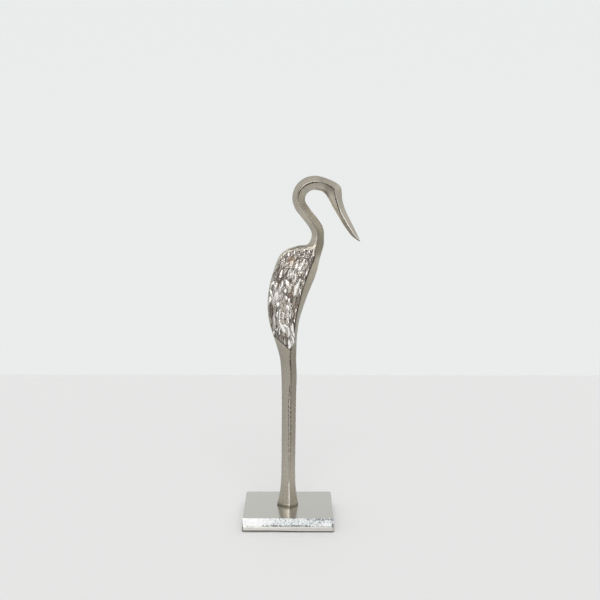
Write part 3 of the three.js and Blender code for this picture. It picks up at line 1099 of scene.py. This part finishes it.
# Painted shade on the front's corners and along the groove, and other darker and lighter marks
BAND_SHADINGS = rows_of(
    BandShading,
    (-52, 7.9, 6, 1.1, 0.55),
    (-20, 9.4, 18, 1.4, 0.56),
    (14, 9.2, 18, 1.3, 0.42),
    (47, 18.8, 22, 1.9, 0.5),
    (54, 11.5, 6, 2.5, -0.5),
    (62.3, 9.8, 1.8, 3.2, 1.0),
    (63, 18.5, 4, 1.8, 0.5),
    (-63.5, 12, 0.7, 6, 0.8),
    (-63.6, 3, 1.6, 6, 0.7),
)
PIT = (0.0583, -0.0325, 0.02)


def band_shading_at(point):
    """How dark the band is painted at a point of the plate's front, in millimetres: mostly painted shade on
    the corners and along the groove.
    """
    if point.y > PLATE_LOW.y / MM + CORNER_MM:
        return 0.0
    return sum(band_shading.strength * in_spot(point, band_shading) for band_shading in BAND_SHADINGS)


def plate_outline(turn, turns, inset, radius):
    """A point on the rounded rectangle, a share of the way round it, in millimetres."""
    half_x = PLATE_HIGH.x / MM - inset
    half_y = PLATE_HIGH.y / MM - inset
    reach_x, reach_y = half_x - radius, half_y - radius
    arc = radius * math.pi / 2
    lengths = [2 * reach_y, arc, 2 * reach_x, arc] * 2
    left = turn / turns * sum(lengths)
    side = 0
    while side < 7 and left > lengths[side]:
        left -= lengths[side]
        side += 1
    quarter, is_arc = divmod(side, 2)
    if is_arc:
        angle = left / arc * math.pi / 2
        corner = Vector((reach_x, reach_y) if quarter % 2 == 0 else (reach_y, reach_x))
        point = corner + radius * Vector((math.cos(angle), math.sin(angle)))
    elif quarter % 2 == 0:
        point = Vector((half_x, left - reach_y))
    else:
        point = Vector((half_y, left - reach_x))
    return Matrix.Rotation(quarter * math.pi / 2, 2) @ point


def plate_skin():
    """The plate's closed skin with its rough upper band, as a bmesh."""
    levels = plate_levels()
    around = 4 * round((PLATE_HIGH.x + PLATE_HIGH.y) / MM / PLATE_EDGE_SPACING_MM)
    level_at = {}

    def point_at(station, turn):
        level = levels[station]
        flat = plate_outline(turn % around, around, level.inset, CORNER_MM)
        point = Vector((flat.x, flat.y, level.height))
        level_at[(point * MM).freeze()] = level
        return point

    bm = roll_up(around, len(levels) - 1, point_at)
    bm.normal_update()
    layers = new_layers(bm, ("roughcast", "lower", "band_shading"))
    for vert in bm.verts:
        level = level_at[vert.co.copy().freeze()]
        point = vert.co / MM
        vert[layers["roughcast"]] = level.rough
        vert[layers["lower"]] = level.lower
        # Painted shade on the front's corners and along the groove
        vert[layers["band_shading"]] = band_shading_at(point) * max(level.rough, level.lower)
        dents = noise.fractal(point * BAND_DENT_SCALE, 0.8, 2.0, 4)
        vert.co += vert.normal * (BAND_ROUGHNESS_MM * level.rough * (dents - MEAN_DENT)) * MM
    return bm


# Materials

def add(tree, kind, inputs=None, **settings):
    """Adds a node. A socket given as an input is linked, and any other value is set, colours as opaque."""
    node = tree.nodes.new(kind)
    for name, value in settings.items():
        setattr(node, name, value)
    for name, value in (inputs or {}).items():
        socket = node.inputs[name]
        if isinstance(value, bpy.types.NodeSocket):
            tree.links.new(value, socket)
        elif socket.type == "RGBA":
            socket.default_value = (*value, 1.0)
        else:
            socket.default_value = value
    return node


def new_material(name):
    """An empty metal: its material, tree and shader."""
    material = bpy.data.materials.new(name)
    material.use_nodes = True
    tree = material.node_tree
    tree.nodes.clear()
    shader = add(tree, "ShaderNodeBsdfPrincipled", {"Metallic": 1.0})
    add(tree, "ShaderNodeOutputMaterial", {"Surface": shader.outputs["BSDF"]})
    return material, tree, shader


def ranged(tree, value, low, high, low_result=0.0, high_result=1.0):
    """A smooth change from one number to another while value goes from low to high."""
    node = add(tree, "ShaderNodeMapRange", {
        "Value": value, "From Min": low, "From Max": high, "To Min": low_result, "To Max": high_result,
    }, interpolation_type="SMOOTHSTEP")
    return node.outputs["Result"]


def calc(tree, operation, first, second=0.0, third=0.0):
    """One sum with numbers or sockets."""
    return add(tree, "ShaderNodeMath", {0: first, 1: second, 2: third}, operation=operation).outputs[0]


def times(tree, first, second):
    """One number times another."""
    return calc(tree, "MULTIPLY", first, second)


def line(tree, value, rise, start=0.0):
    """A number that is start where value is 0, and goes up by rise where value is 1."""
    return calc(tree, "MULTIPLY_ADD", value, rise, start)


def attribute(tree, name):
    """The piece's own value of that name."""
    return add(tree, "ShaderNodeAttribute", attribute_name=name).outputs["Fac"]


def mixed(tree, factor, first, second):
    """A colour between two colours."""
    return add(tree, "ShaderNodeMix", {0: factor, 6: first, 7: second}, data_type="RGBA").outputs[2]


def blended(tree, factor, first, second):
    """A number between two numbers."""
    return add(tree, "ShaderNodeMix", {0: factor, 2: first, 3: second}).outputs[0]


def speckle(tree, place, scale, detail=3.0):
    """Soft noise from 0 to 1."""
    return add(tree, "ShaderNodeTexNoise", {"Vector": place, "Scale": scale, "Detail": detail}).outputs["Fac"]


# How fine each pattern is, in noise cells per metre

MOTTLE_SCALE = 260.0
MOTTLE_HEIGHT = 1.6
HERON_GRAIN_SCALE = 900.0
SCRATCH_SCALE = 620.0
HAND_SCALE = 640.0
WANDER_SCALE = 300.0
WANDER_MM = 0.9
BREAK_SCALE = 170.0
CHAIN_SCALE = 430.0
DOT_SCALE = 480.0
HIGHLIGHT_BREAK_SCALE = 150.0
BORDER_SCALE = 230.0
PLATE_GRAIN_SCALE = 1100.0
STREAK_SCALE = 900.0
STREAK_STRETCH = (0.03, 1.0, 1.0)
BAND_SHADING_SCALE = 520.0
DIRT_SCALE = 330.0
FINE_DIRT_SCALE = 820.0
SPOT_SCALE = 420.0
HAMMER_SCALE = 500.0
FIBRE_SCALE = 40.0
FIBRE_GAIN = 0.99

# The heron's finish

PALE_GAIN = 1.12
OUTLINE_SHADE_SHARE = 0.6
OLIVE_TINT = (1.0, 0.99, 0.945)
GREY_TINT = (0.965, 0.965, 0.965)
COOL_TINT = (0.985, 0.993, 1.045)
CREST_SHADOW_DARKENING = -0.6
RIM_PAINTED_SHADE = -0.42
DOT_STRENGTH = 0.6
STROKE_HIGHLIGHT_SCATTER = 0.65
CREST_HIGHLIGHT_SCATTER = 0.6
CARVING_TURN = (0.0, math.radians(-12), 0.0)
CARVING_STRETCH = (1.0, 1.0, 0.15)
CALM_GRAIN = -0.92
SCRATCH_HEIGHT = 12.0
RECESS_ROUGHNESS = 0.5
POLISH_ROUGHNESS = 0.25
DARK_LINE_ROUGHNESS = 0.7
HERON_BUMP = 0.35
HERON_BUMP_M = 0.00005

# The plate's finish

DULL_TOP_GAIN = 0.95
LOWER_ROUGHNESS = 0.35
SHADOW_LINE_ROUGHNESS = 0.9
HAMMER_HEIGHT = 12.0
PLATE_BUMP = 0.3
PLATE_BUMP_M = 0.00015


def cast_grain_group():
    """The grain of a fettled casting: slow mottling, and fine pits and grains as a height."""
    tree = bpy.data.node_groups.new("cast_grain", "ShaderNodeTree")
    for name, way, kind in (
        ("Vector", "INPUT", "Vector"),
        ("Grain Scale", "INPUT", "Float"),
        ("Mottle", "OUTPUT", "Float"),
        ("Height", "OUTPUT", "Float"),
    ):
        tree.interface.new_socket(name, in_out=way, socket_type=f"NodeSocket{kind}")
    given = add(tree, "NodeGroupInput").outputs
    mottle = speckle(tree, given["Vector"], MOTTLE_SCALE, 4.0)
    fine = speckle(tree, given["Vector"], given["Grain Scale"])
    add(tree, "NodeGroupOutput", {"Mottle": mottle, "Height": line(tree, mottle, MOTTLE_HEIGHT, fine)})
    return tree


def use_grain(tree, place, scale):
    """Places the grain group in a material and gives its outputs."""
    group = bpy.data.node_groups.get("cast_grain") or cast_grain_group()
    return add(tree, "ShaderNodeGroup", {"Vector": place, "Grain Scale": scale}, node_tree=group).outputs


def scaled(tree, color, factor):
    """A colour made darker or brighter by a number."""
    return add(tree, "ShaderNodeVectorMath", {0: color, "Scale": factor}, operation="SCALE").outputs[0]


def tinted(tree, color, tint):
    """A colour times another."""
    return add(tree, "ShaderNodeVectorMath", {0: color, 1: tint}, operation="MULTIPLY").outputs[0]


def bare_metal(tree, settings, mottle, calm):
    """The colour of the casting's smooth faces, with the painted light and shade of each place: the shading
    of the faces, a shade towards the outline, a shadow before the crest and a shade on the shoulder's rim.
    """
    pale = [value * PALE_GAIN for value in settings.metal_color]
    color = mixed(tree, ranged(tree, mottle, 0.3, 0.7), settings.metal_color, pale)
    # Painted shade towards the outline
    color = mixed(tree, times(tree, attribute(tree, "edge"), OUTLINE_SHADE_SHARE), color, settings.outline_shade_color)
    # The front faces take an olive tint, and a grey one where calm, as part of their painted shade
    front = attribute(tree, "front")
    lively = line(tree, calm, -1.0, 1.0)
    color = mixed(tree, times(tree, front, lively), color, tinted(tree, color, OLIVE_TINT))
    color = mixed(tree, times(tree, calm, front), color, tinted(tree, color, GREY_TINT))
    # A painted shadow just before the crest
    painted_crest_shadow = line(tree, attribute(tree, "painted_crest_shadow"), CREST_SHADOW_DARKENING, 1.0)
    # A painted shade on the shoulder's rim, with a painted highlight at its outer edge
    rim = line(tree, attribute(tree, "rim"), RIM_PAINTED_SHADE, 1.0)
    # Painted light and shade on each face
    painted_face_shading = times(tree, times(tree, attribute(tree, "painted_face_shading"), rim), painted_crest_shadow)
    return scaled(tree, color, painted_face_shading)


def crest_lines(tree, place):
    """The painted dark reflection along the crest, and the painted glints and painted highlight beside it,
    each from 0 to 1.
    """
    wander = line(tree, speckle(tree, place, WANDER_SCALE), WANDER_MM, -WANDER_MM / 2)
    twin = attribute(tree, "twin")
    off_crest = calc(tree, "ABSOLUTE", calc(tree, "ADD", attribute(tree, "dark_line_mm"), wander))
    off_line = calc(tree, "ABSOLUTE", line(tree, twin, -TWIN_MM, off_crest))
    off_line = calc(tree, "SUBTRACT", off_line, attribute(tree, "half_mm"))
    breaks = ranged(tree, speckle(tree, place, BREAK_SCALE), 0.3, 0.48, 0.5, 1.0)
    chain = ranged(tree, speckle(tree, place, CHAIN_SCALE), 0.42, 0.56, 0.1, 1.9)
    breaks = blended(tree, line(tree, twin, 0.65, 0.35), breaks, chain)
    seam = times(tree, attribute(tree, "seam"), breaks)
    seam = times(tree, ranged(tree, off_line, -0.25, 0.35, 1.0, 0.0), seam)

    dots = ranged(tree, speckle(tree, place, DOT_SCALE), 0.5, 0.62)
    dots = times(tree, ranged(tree, off_crest, 0.3, 0.8, 1.0, 0.0), dots)
    dots = times(tree, dots, times(tree, twin, DOT_STRENGTH))
    beside = calc(tree, "ABSOLUTE", calc(tree, "ADD", attribute(tree, "highlight_line_mm"), wander))
    patchy = calc(tree, "ADD", speckle(tree, place, HIGHLIGHT_BREAK_SCALE), attribute(tree, "painted_crest_highlight"))
    painted_crest_highlight = times(tree, ranged(tree, beside, 0.25, 0.7, 1.0, 0.0), ranged(tree, patchy, 0.7, 1.1))
    return seam, calc(tree, "MAXIMUM", dots, painted_crest_highlight)


def heron_metal(settings):
    """Raw nickel finish: satin and mottled on the smooth faces with painted light and shade, on the wings
    bright strokes with painted highlights and brown recesses of patina and painted shade, and a painted dark
    line and highlight along the crest.
    """
    material, tree, shader = new_material("heron_metal")
    place = add(tree, "ShaderNodeTexCoord").outputs["Object"]
    grain = use_grain(tree, place, HERON_GRAIN_SCALE)
    calm = attribute(tree, "calm")
    mottle = blended(tree, calm, grain["Mottle"], 0.5)
    patina = bare_metal(tree, settings, mottle, calm)

    wing = attribute(tree, "wing")
    shade = attribute(tree, "shade")
    lengthways = add(tree, "ShaderNodeMapping", {
        "Vector": place, "Rotation": CARVING_TURN, "Scale": CARVING_STRETCH,
    }).outputs["Vector"]
    scratches = speckle(tree, lengthways, SCRATCH_SCALE, 2.0)
    level = line(tree, shade, 0.45, line(tree, scratches, 0.9, attribute(tree, "carving")))
    depth = ranged(tree, level, 0.75, 1.3)
    # The recesses are darkened: patina, with painted shade in the hollows
    recess = mixed(tree, attribute(tree, "brown"), settings.recess_patina_and_shade_color, settings.brown_color)
    carved = mixed(tree, depth, recess, tinted(tree, patina, COOL_TINT))
    color = mixed(tree, wing, patina, carved)

    # Strokes painted in the polish colour, partly real polish and partly painted highlight, together with the
    # crest's painted highlight
    hand = speckle(tree, lengthways, HAND_SCALE)
    bright = line(tree, shade, 0.5, line(tree, attribute(tree, "polish_and_highlight"), 0.8, hand))
    seam, painted_crest_highlight = crest_lines(tree, place)
    shine = calc(tree, "MAXIMUM", times(tree, ranged(tree, bright, 0.7, 1.15), wing), painted_crest_highlight)
    color = mixed(tree, shine, color, settings.polish_and_highlight_color)
    # The painted shade in the groove along the wing's border joins the crest's painted dark line
    border = ranged(tree, speckle(tree, place, BORDER_SCALE), 0.35, 0.6, 0.65, 1.0)
    border = times(tree, attribute(tree, "border"), border)
    seam = calc(tree, "MAXIMUM", seam, ranged(tree, border, 0.08, 0.52))
    color = mixed(tree, seam, color, settings.dark_line_color)
    tree.links.new(color, shader.inputs["Base Color"])
    # Where a highlight is painted, some metal is taken away so that it stays bright whatever it reflects
    scattering = calc(tree, "MAXIMUM", times(tree, shine, STROKE_HIGHLIGHT_SCATTER), times(tree, painted_crest_highlight, CREST_HIGHLIGHT_SCATTER))
    tree.links.new(calc(tree, "SUBTRACT", 1.0, scattering), shader.inputs["Metallic"])

    satin = ranged(tree, mottle, 0.25, 0.75, settings.roughness - 0.05, settings.roughness + 0.07)
    rough = blended(tree, wing, satin, blended(tree, depth, RECESS_ROUGHNESS, satin))
    rough = blended(tree, shine, rough, POLISH_ROUGHNESS)
    tree.links.new(blended(tree, seam, rough, DARK_LINE_ROUGHNESS), shader.inputs["Roughness"])
    height = times(tree, grain["Height"], line(tree, calm, CALM_GRAIN, 1.0))
    height = line(tree, times(tree, scratches, wing), SCRATCH_HEIGHT, height)
    bump = add(tree, "ShaderNodeBump", {"Height": height, "Strength": HERON_BUMP, "Distance": HERON_BUMP_M})
    tree.links.new(bump.outputs["Normal"], shader.inputs["Normal"])
    return material


def satin_top(tree, settings, streaks, left_right, lower):
    """The colour of the plate's brushed top and of its smooth lower band, a little darker to the right:
    painted light that falls from the left.
    """
    dull = [value * DULL_TOP_GAIN for value in settings.top_color]
    top = mixed(tree, streaks, dull, settings.top_color)
    top = scaled(tree, top, ranged(tree, left_right, -0.06, 0.03, 1.04, 1.0))
    band = scaled(tree, settings.lower_color, ranged(tree, left_right, -0.03, 0.05, 1.0, 0.91))
    return mixed(tree, lower, top, band)


def hammered_band(tree, settings, place, left_right, band_shading):
    """The colour of the plate's hammered band: painted light makes it white at the left end, and it is duller
    to the right with more grime colour as painted shade, with grimy pits.
    """
    from_left = ranged(tree, left_right, -0.05, -0.01)
    grime_and_shade = line(tree, speckle(tree, place, DIRT_SCALE), 0.6, speckle(tree, place, FINE_DIRT_SCALE, 2.0))
    # Towards the right the band takes more grime colour as painted shade
    grime_and_shade = line(tree, band_shading, 0.5, line(tree, from_left, 0.12, grime_and_shade))
    # Painted light makes the band's left end white
    white = mixed(tree, from_left, settings.lit_band_color, settings.less_lit_band_color)
    return mixed(tree, ranged(tree, grime_and_shade, 0.9, 1.1), white, settings.grime_and_shade_color)


def plate_metal(settings):
    """Satin nickel on the top and the lower band, rough and bright on the hammered band, with a painted
    contact shadow along the bottom and painted shade on the front's corners and groove.
    """
    material, tree, shader = new_material("plate_metal")
    place = add(tree, "ShaderNodeTexCoord").outputs["Object"]
    axes = add(tree, "ShaderNodeSeparateXYZ", {"Vector": place}).outputs
    band = attribute(tree, "roughcast")
    lower = attribute(tree, "lower")
    grain = use_grain(tree, place, PLATE_GRAIN_SCALE)
    brushed = add(tree, "ShaderNodeMapping", {"Vector": place, "Scale": STREAK_STRETCH}).outputs["Vector"]
    streaks = speckle(tree, brushed, STREAK_SCALE)
    band_shading = ranged(tree, speckle(tree, place, BAND_SHADING_SCALE), 0.42, 0.6, 0.2, 1.7)
    band_shading = times(tree, attribute(tree, "band_shading"), band_shading)

    satin = satin_top(tree, settings, streaks, axes["X"], lower)
    hammered = hammered_band(tree, settings, place, axes["X"], band_shading)
    color = mixed(tree, ranged(tree, band, 0.2, 0.6), satin, hammered)
    # The marks darken the band's pits with grime and painted shade
    spotted = line(tree, speckle(tree, place, SPOT_SCALE), 1.2, calc(tree, "ADD", band_shading, -0.6))
    color = mixed(tree, ranged(tree, spotted, 0.35, 0.85, 0.0, 0.9), color, settings.grime_and_shade_color)
    # A dark spot painted at a small pit in the top: painted shade in the pit
    from_pit = add(tree, "ShaderNodeVectorMath", {0: place, 1: PIT}, operation="DISTANCE").outputs["Value"]
    color = mixed(tree, ranged(tree, from_pit, 0.0006, 0.0014, 0.5, 0.0), color, settings.grime_and_shade_color)

    # A painted contact shadow: a dark line along the bottom of the lower band, higher on the left, with the
    # painted shade of the front's marks
    line_height = ranged(tree, axes["X"], -0.03, 0.03, SHADOW_LINE_LEFT_MM * MM, SHADOW_LINE_RIGHT_MM * MM)
    off_line = calc(tree, "ABSOLUTE", calc(tree, "SUBTRACT", axes["Z"], line_height))
    lower_edge_shade = calc(tree, "MAXIMUM", ranged(tree, off_line, 0.0005, 0.0013, 1.0, 0.0), band_shading)
    lower_edge_shade = times(tree, lower_edge_shade, lower)
    color = mixed(tree, lower_edge_shade, color, settings.contact_shadow_color)
    tree.links.new(color, shader.inputs["Base Color"])
    # Half the band's metal is taken away so that its white shows whatever it reflects: a rough bright finish
    # with a painted reflection
    metallic = ranged(tree, band, 0.2, 0.6, 1.0, 0.5)
    tree.links.new(calc(tree, "SUBTRACT", metallic, lower_edge_shade), shader.inputs["Metallic"])

    smooth = ranged(tree, streaks, 0.2, 0.8, settings.top_roughness - 0.03, settings.top_roughness + 0.05)
    rough = blended(tree, band, blended(tree, lower, smooth, LOWER_ROUGHNESS), settings.band_roughness)
    tree.links.new(blended(tree, lower_edge_shade, rough, SHADOW_LINE_ROUGHNESS), shader.inputs["Roughness"])
    hammer = times(tree, speckle(tree, place, HAMMER_SCALE), times(tree, band, HAMMER_HEIGHT))
    height = calc(tree, "ADD", grain["Height"], hammer)
    bump = add(tree, "ShaderNodeBump", {"Height": height, "Strength": PLATE_BUMP, "Distance": PLATE_BUMP_M})
    tree.links.new(bump.outputs["Normal"], shader.inputs["Normal"])
    return material


def floor_paper(settings):
    """Pale matt paper with a very faint mottling."""
    material, tree, shader = new_material("floor_paper")
    for name, value in (("Metallic", 0.0), ("Roughness", 0.7), ("Specular IOR Level", 0.2)):
        shader.inputs[name].default_value = value
    fibre = speckle(tree, add(tree, "ShaderNodeTexCoord").outputs["Object"], FIBRE_SCALE)
    dim = [value * FIBRE_GAIN for value in settings.floor_color]
    tree.links.new(mixed(tree, fibre, dim, settings.floor_color), shader.inputs["Base Color"])
    return material


# The studio

FLOOR_HALF_SIZE = 0.877
CAMERA_DISTANCE = 1.1937
CAMERA_SIDE = 0.0158
CAMERA_HEIGHT = 0.4996
CAMERA_TILT = math.radians(8.629)
CAMERA_ROLL = math.radians(0.2016)
CAMERA_YAW = math.radians(-0.4146)
SENSOR_WIDTH_MM = 36.0
FOCAL_PIXELS = 867.7
FRAME_PIXELS = 600
FILL_AZIMUTH = 5
WINDOW_DEGREES = (11, 27)
DIM_FRONT = (15, -10, 12, 45)


def make_camera():
    """The camera of the photograph, fitted to the plate's corners and the bird's height."""
    data = bpy.data.cameras.new("camera")
    data.sensor_width = SENSOR_WIDTH_MM
    data.lens = FOCAL_PIXELS / FRAME_PIXELS * SENSOR_WIDTH_MM
    camera = bpy.data.objects.new("camera", data)
    place = Matrix.Translation((CAMERA_SIDE, -CAMERA_DISTANCE, CAMERA_HEIGHT))
    look = Matrix.Rotation(math.pi / 2 - CAMERA_TILT, 4, "X")
    roll = Matrix.Rotation(CAMERA_ROLL, 4, "Z")
    camera.matrix_world = Matrix.Rotation(CAMERA_YAW, 4, "Z") @ place @ look @ roll
    bpy.context.scene.collection.objects.link(camera)
    bpy.context.scene.camera = camera


def direction_of(azimuth, elevation):
    """A direction. azimuth is in degrees from the front, above 0 to the right."""
    turn, rise = math.radians(azimuth), math.radians(elevation)
    return (math.sin(turn) * math.cos(rise), -math.cos(turn) * math.cos(rise), math.sin(rise))


def softbox(tree, direction, azimuth, elevation, inner, outer):
    """A soft round window in the reflections, full within inner degrees and gone beyond outer degrees."""
    facing = add(tree, "ShaderNodeVectorMath", {0: direction, 1: direction_of(azimuth, elevation)},
                 operation="DOT_PRODUCT").outputs["Value"]
    return ranged(tree, facing, math.cos(math.radians(outer)), math.cos(math.radians(inner)))


def make_world(settings):
    """A pale plain room. Metal and floor see its walls, its ceiling and a soft window, the eye its backdrop.

    Mirrored rays see the window where the highlights show it. Everything else is lit by the same window from
    almost straight in front, so that the floor's shadows are even to the left and right.
    """
    world = bpy.data.worlds.new("studio")
    world.use_nodes = True
    bpy.context.scene.world = world
    tree = world.node_tree
    tree.nodes.clear()
    direction = add(tree, "ShaderNodeTexCoord").outputs["Generated"]
    axes = add(tree, "ShaderNodeSeparateXYZ", {"Vector": direction}).outputs
    rays = add(tree, "ShaderNodeLightPath").outputs
    room = mixed(tree, ranged(tree, axes["X"], -0.7, 0.7), settings.left_color, settings.right_color)
    room = mixed(tree, softbox(tree, direction, *DIM_FRONT), room, settings.front_color)
    room = mixed(tree, ranged(tree, axes["Y"], 0.0, 0.8), room, settings.back_color)
    room = mixed(tree, ranged(tree, axes["Z"], 0.0, 0.6), room, settings.top_color)
    shining = softbox(tree, direction, settings.window_azimuth, settings.window_elevation, *WINDOW_DEGREES)
    lighting = softbox(tree, direction, FILL_AZIMUTH, settings.window_elevation, *WINDOW_DEGREES)
    window = blended(tree, rays["Is Glossy Ray"], lighting, shining)
    room = mixed(tree, window, room, [settings.window_power] * 3)
    height = ranged(tree, axes["Z"], -0.2, 0.3)
    backdrop = mixed(tree, height, settings.backdrop_low_color, settings.backdrop_high_color)
    around, plain = (add(tree, "ShaderNodeBackground", {"Color": color}) for color in (room, backdrop))
    both = add(tree, "ShaderNodeMixShader", {
        0: rays["Is Camera Ray"], 1: around.outputs["Background"], 2: plain.outputs["Background"],
    })
    add(tree, "ShaderNodeOutputWorld", {"Surface": both.outputs["Shader"]})


# The add-on

def tint_property(name, description, default):
    """A colour that a user can change."""
    return FloatVectorProperty(name=name, description=description, default=default, subtype="COLOR")


class CastingSettings(bpy.types.PropertyGroup):
    """The heron casting."""

    feather_width: FloatProperty(
        name="Feather Width", description="Width of a carved feather", default=6.4 * MM, unit="LENGTH")
    feather_length: FloatProperty(
        name="Feather Length", description="Length of a carved feather", default=21 * MM, unit="LENGTH")
    feather_relief: FloatProperty(
        name="Feather Relief", description="How far a feather stands out of the wing", default=1.5 * MM,
        unit="LENGTH")
    metal_color: tint_property("Metal", "Colour of the smooth faces", (0.445, 0.41, 0.345))
    # Painted shade towards the outline
    outline_shade_color: tint_property("Edge", "Colour of the faces towards the outline", (0.4, 0.385, 0.335))
    # Polish with painted highlights on the strokes, and the crest's painted highlight
    polish_and_highlight_color: tint_property("Polish", "Colour of the strokes and worn edges", (0.885, 0.869, 0.846))
    # Patina with painted shade between the feathers
    recess_patina_and_shade_color: tint_property("Recess", "Colour between the feathers", (0.125, 0.105, 0.095))
    brown_color: tint_property("Brown", "Colour of the tarnished patches", (0.25, 0.18, 0.135))
    # Painted dark reflection along the crest, also the painted shade along the wing's border
    dark_line_color: tint_property("Seam", "Colour of the dark line on the crest", (0.04, 0.032, 0.025))
    roughness: FloatProperty(
        name="Roughness", description="Roughness of the smooth faces", default=0.27, subtype="FACTOR")


class PlateSettings(bpy.types.PropertyGroup):
    """The base plate."""

    top_color: tint_property("Top", "Colour of the satin top", (0.47, 0.465, 0.435))
    lower_color: tint_property("Lower Band", "Colour of the smooth lower band", (0.76, 0.74, 0.69))
    # Painted contact shadow along the bottom
    contact_shadow_color: tint_property("Under Edge", "Colour of the chamfer at the underside", (0.03, 0.027, 0.025))
    # The band's white, partly a painted reflection, brightest as painted light at its left end
    lit_band_color: tint_property("Band", "Colour of the hammered band", (1.0, 1.0, 1.0))
    less_lit_band_color: tint_property("Worn Band", "Colour of the band's duller part", (0.885, 0.905, 0.91))
    # Grime in the pits, also used for the painted shade of the front's marks
    grime_and_shade_color: tint_property("Grime", "Colour in the pits of the hammered band", (0.22, 0.25, 0.26))
    top_roughness: FloatProperty(
        name="Top Roughness", description="Roughness of the satin top", default=0.16, subtype="FACTOR")
    band_roughness: FloatProperty(
        name="Band Roughness", description="Roughness of the hammered band", default=0.4, subtype="FACTOR")


class StageSettings(bpy.types.PropertyGroup):
    """The floor, the light and the camera."""

    floor_color: tint_property("Floor", "Colour of the paper floor", (0.672, 0.672, 0.669))
    left_color: tint_property("Left Wall", "What shines from the left", (0.8, 0.8, 0.79))
    right_color: tint_property("Right Wall", "What shines from the right", (0.62, 0.63, 0.6))
    back_color: tint_property("Back Wall", "What shines from behind", (0.98, 0.99, 0.985))
    top_color: tint_property("Ceiling", "What shines from above", (0.97, 0.97, 0.97))
    front_color: tint_property("Front", "The dimmer part of the room before the bird", (0.45, 0.44, 0.42))
    backdrop_low_color: tint_property("Low Backdrop", "The backdrop at the floor", (0.83, 0.845, 0.838))
    backdrop_high_color: tint_property("High Backdrop", "The backdrop higher up", (0.815, 0.838, 0.83))
    window_power: FloatProperty(
        name="Window", description="How bright the soft window is", default=4.0)
    window_azimuth: FloatProperty(
        name="Window Azimuth", description="Degrees from the front to the window, above 0 to the right",
        default=-30.0)
    window_elevation: FloatProperty(
        name="Window Elevation", description="Degrees from the horizon up to the window", default=38.0)


class HERON_OT_casting(bpy.types.Operator):
    """Make the heron: foot, leg, body, carved wings, neck, head and beak in one casting"""

    bl_idname = "heron.casting"
    bl_label = "Heron Casting"

    def execute(self, context):
        settings = context.scene.heron_casting
        finished(heron_skin(settings), "heron_casting", "heron", heron_metal(settings))
        return {"FINISHED"}


class HERON_OT_base_plate(bpy.types.Operator):
    """Make the base plate with its hammered edge band"""

    bl_idname = "heron.base_plate"
    bl_label = "Base Plate"

    def execute(self, context):
        settings = context.scene.heron_plate
        finished(plate_skin(), "plinth_plate", "base_plate", plate_metal(settings))
        return {"FINISHED"}


class HERON_OT_stage(bpy.types.Operator):
    """Make the pale floor, the soft light and the camera"""

    bl_idname = "heron.stage"
    bl_label = "Studio"

    def execute(self, context):
        settings = context.scene.heron_stage
        bm = bmesh.new()
        bmesh.ops.create_grid(bm, x_segments=1, y_segments=1, size=FLOOR_HALF_SIZE)
        mesh = bpy.data.meshes.new("floor")
        bm.to_mesh(mesh)
        bm.free()
        mesh.materials.append(floor_paper(settings))
        floor = bpy.data.objects.new("floor", mesh)
        context.scene.collection.objects.link(floor)
        make_world(settings)
        make_camera()
        context.scene.view_settings.view_transform = "Standard"
        return {"FINISHED"}


class HERON_PT_panel(bpy.types.Panel):
    """Lists the figurine's pieces"""

    bl_label = "Heron Figurine"
    bl_idname = "HERON_PT_panel"
    bl_space_type = "VIEW_3D"
    bl_region_type = "UI"
    bl_category = "Heron"

    def draw(self, context):
        layout = self.layout
        for operator, settings in (
            ("heron.casting", context.scene.heron_casting),
            ("heron.base_plate", context.scene.heron_plate),
            ("heron.stage", context.scene.heron_stage),
        ):
            layout.operator(operator)
            for name in settings.__annotations__:
                layout.prop(settings, name)


CLASSES = (
    CastingSettings,
    PlateSettings,
    StageSettings,
    HERON_OT_casting,
    HERON_OT_base_plate,
    HERON_OT_stage,
    HERON_PT_panel,
)


def register():
    """Registers the classes and their settings."""
    for cls in CLASSES:
        bpy.utils.register_class(cls)
    bpy.types.Scene.heron_casting = PointerProperty(type=CastingSettings)
    bpy.types.Scene.heron_plate = PointerProperty(type=PlateSettings)
    bpy.types.Scene.heron_stage = PointerProperty(type=StageSettings)


def unregister():
    """Takes the settings and the classes away again."""
    del bpy.types.Scene.heron_stage
    del bpy.types.Scene.heron_plate
    del bpy.types.Scene.heron_casting
    for cls in reversed(CLASSES):
        bpy.utils.unregister_class(cls)


def main():
    """Makes the figurine and its studio."""
    register()
    bpy.ops.heron.casting()
    bpy.ops.heron.base_plate()
    bpy.ops.heron.stage()


if __name__ == "__main__":
    main()
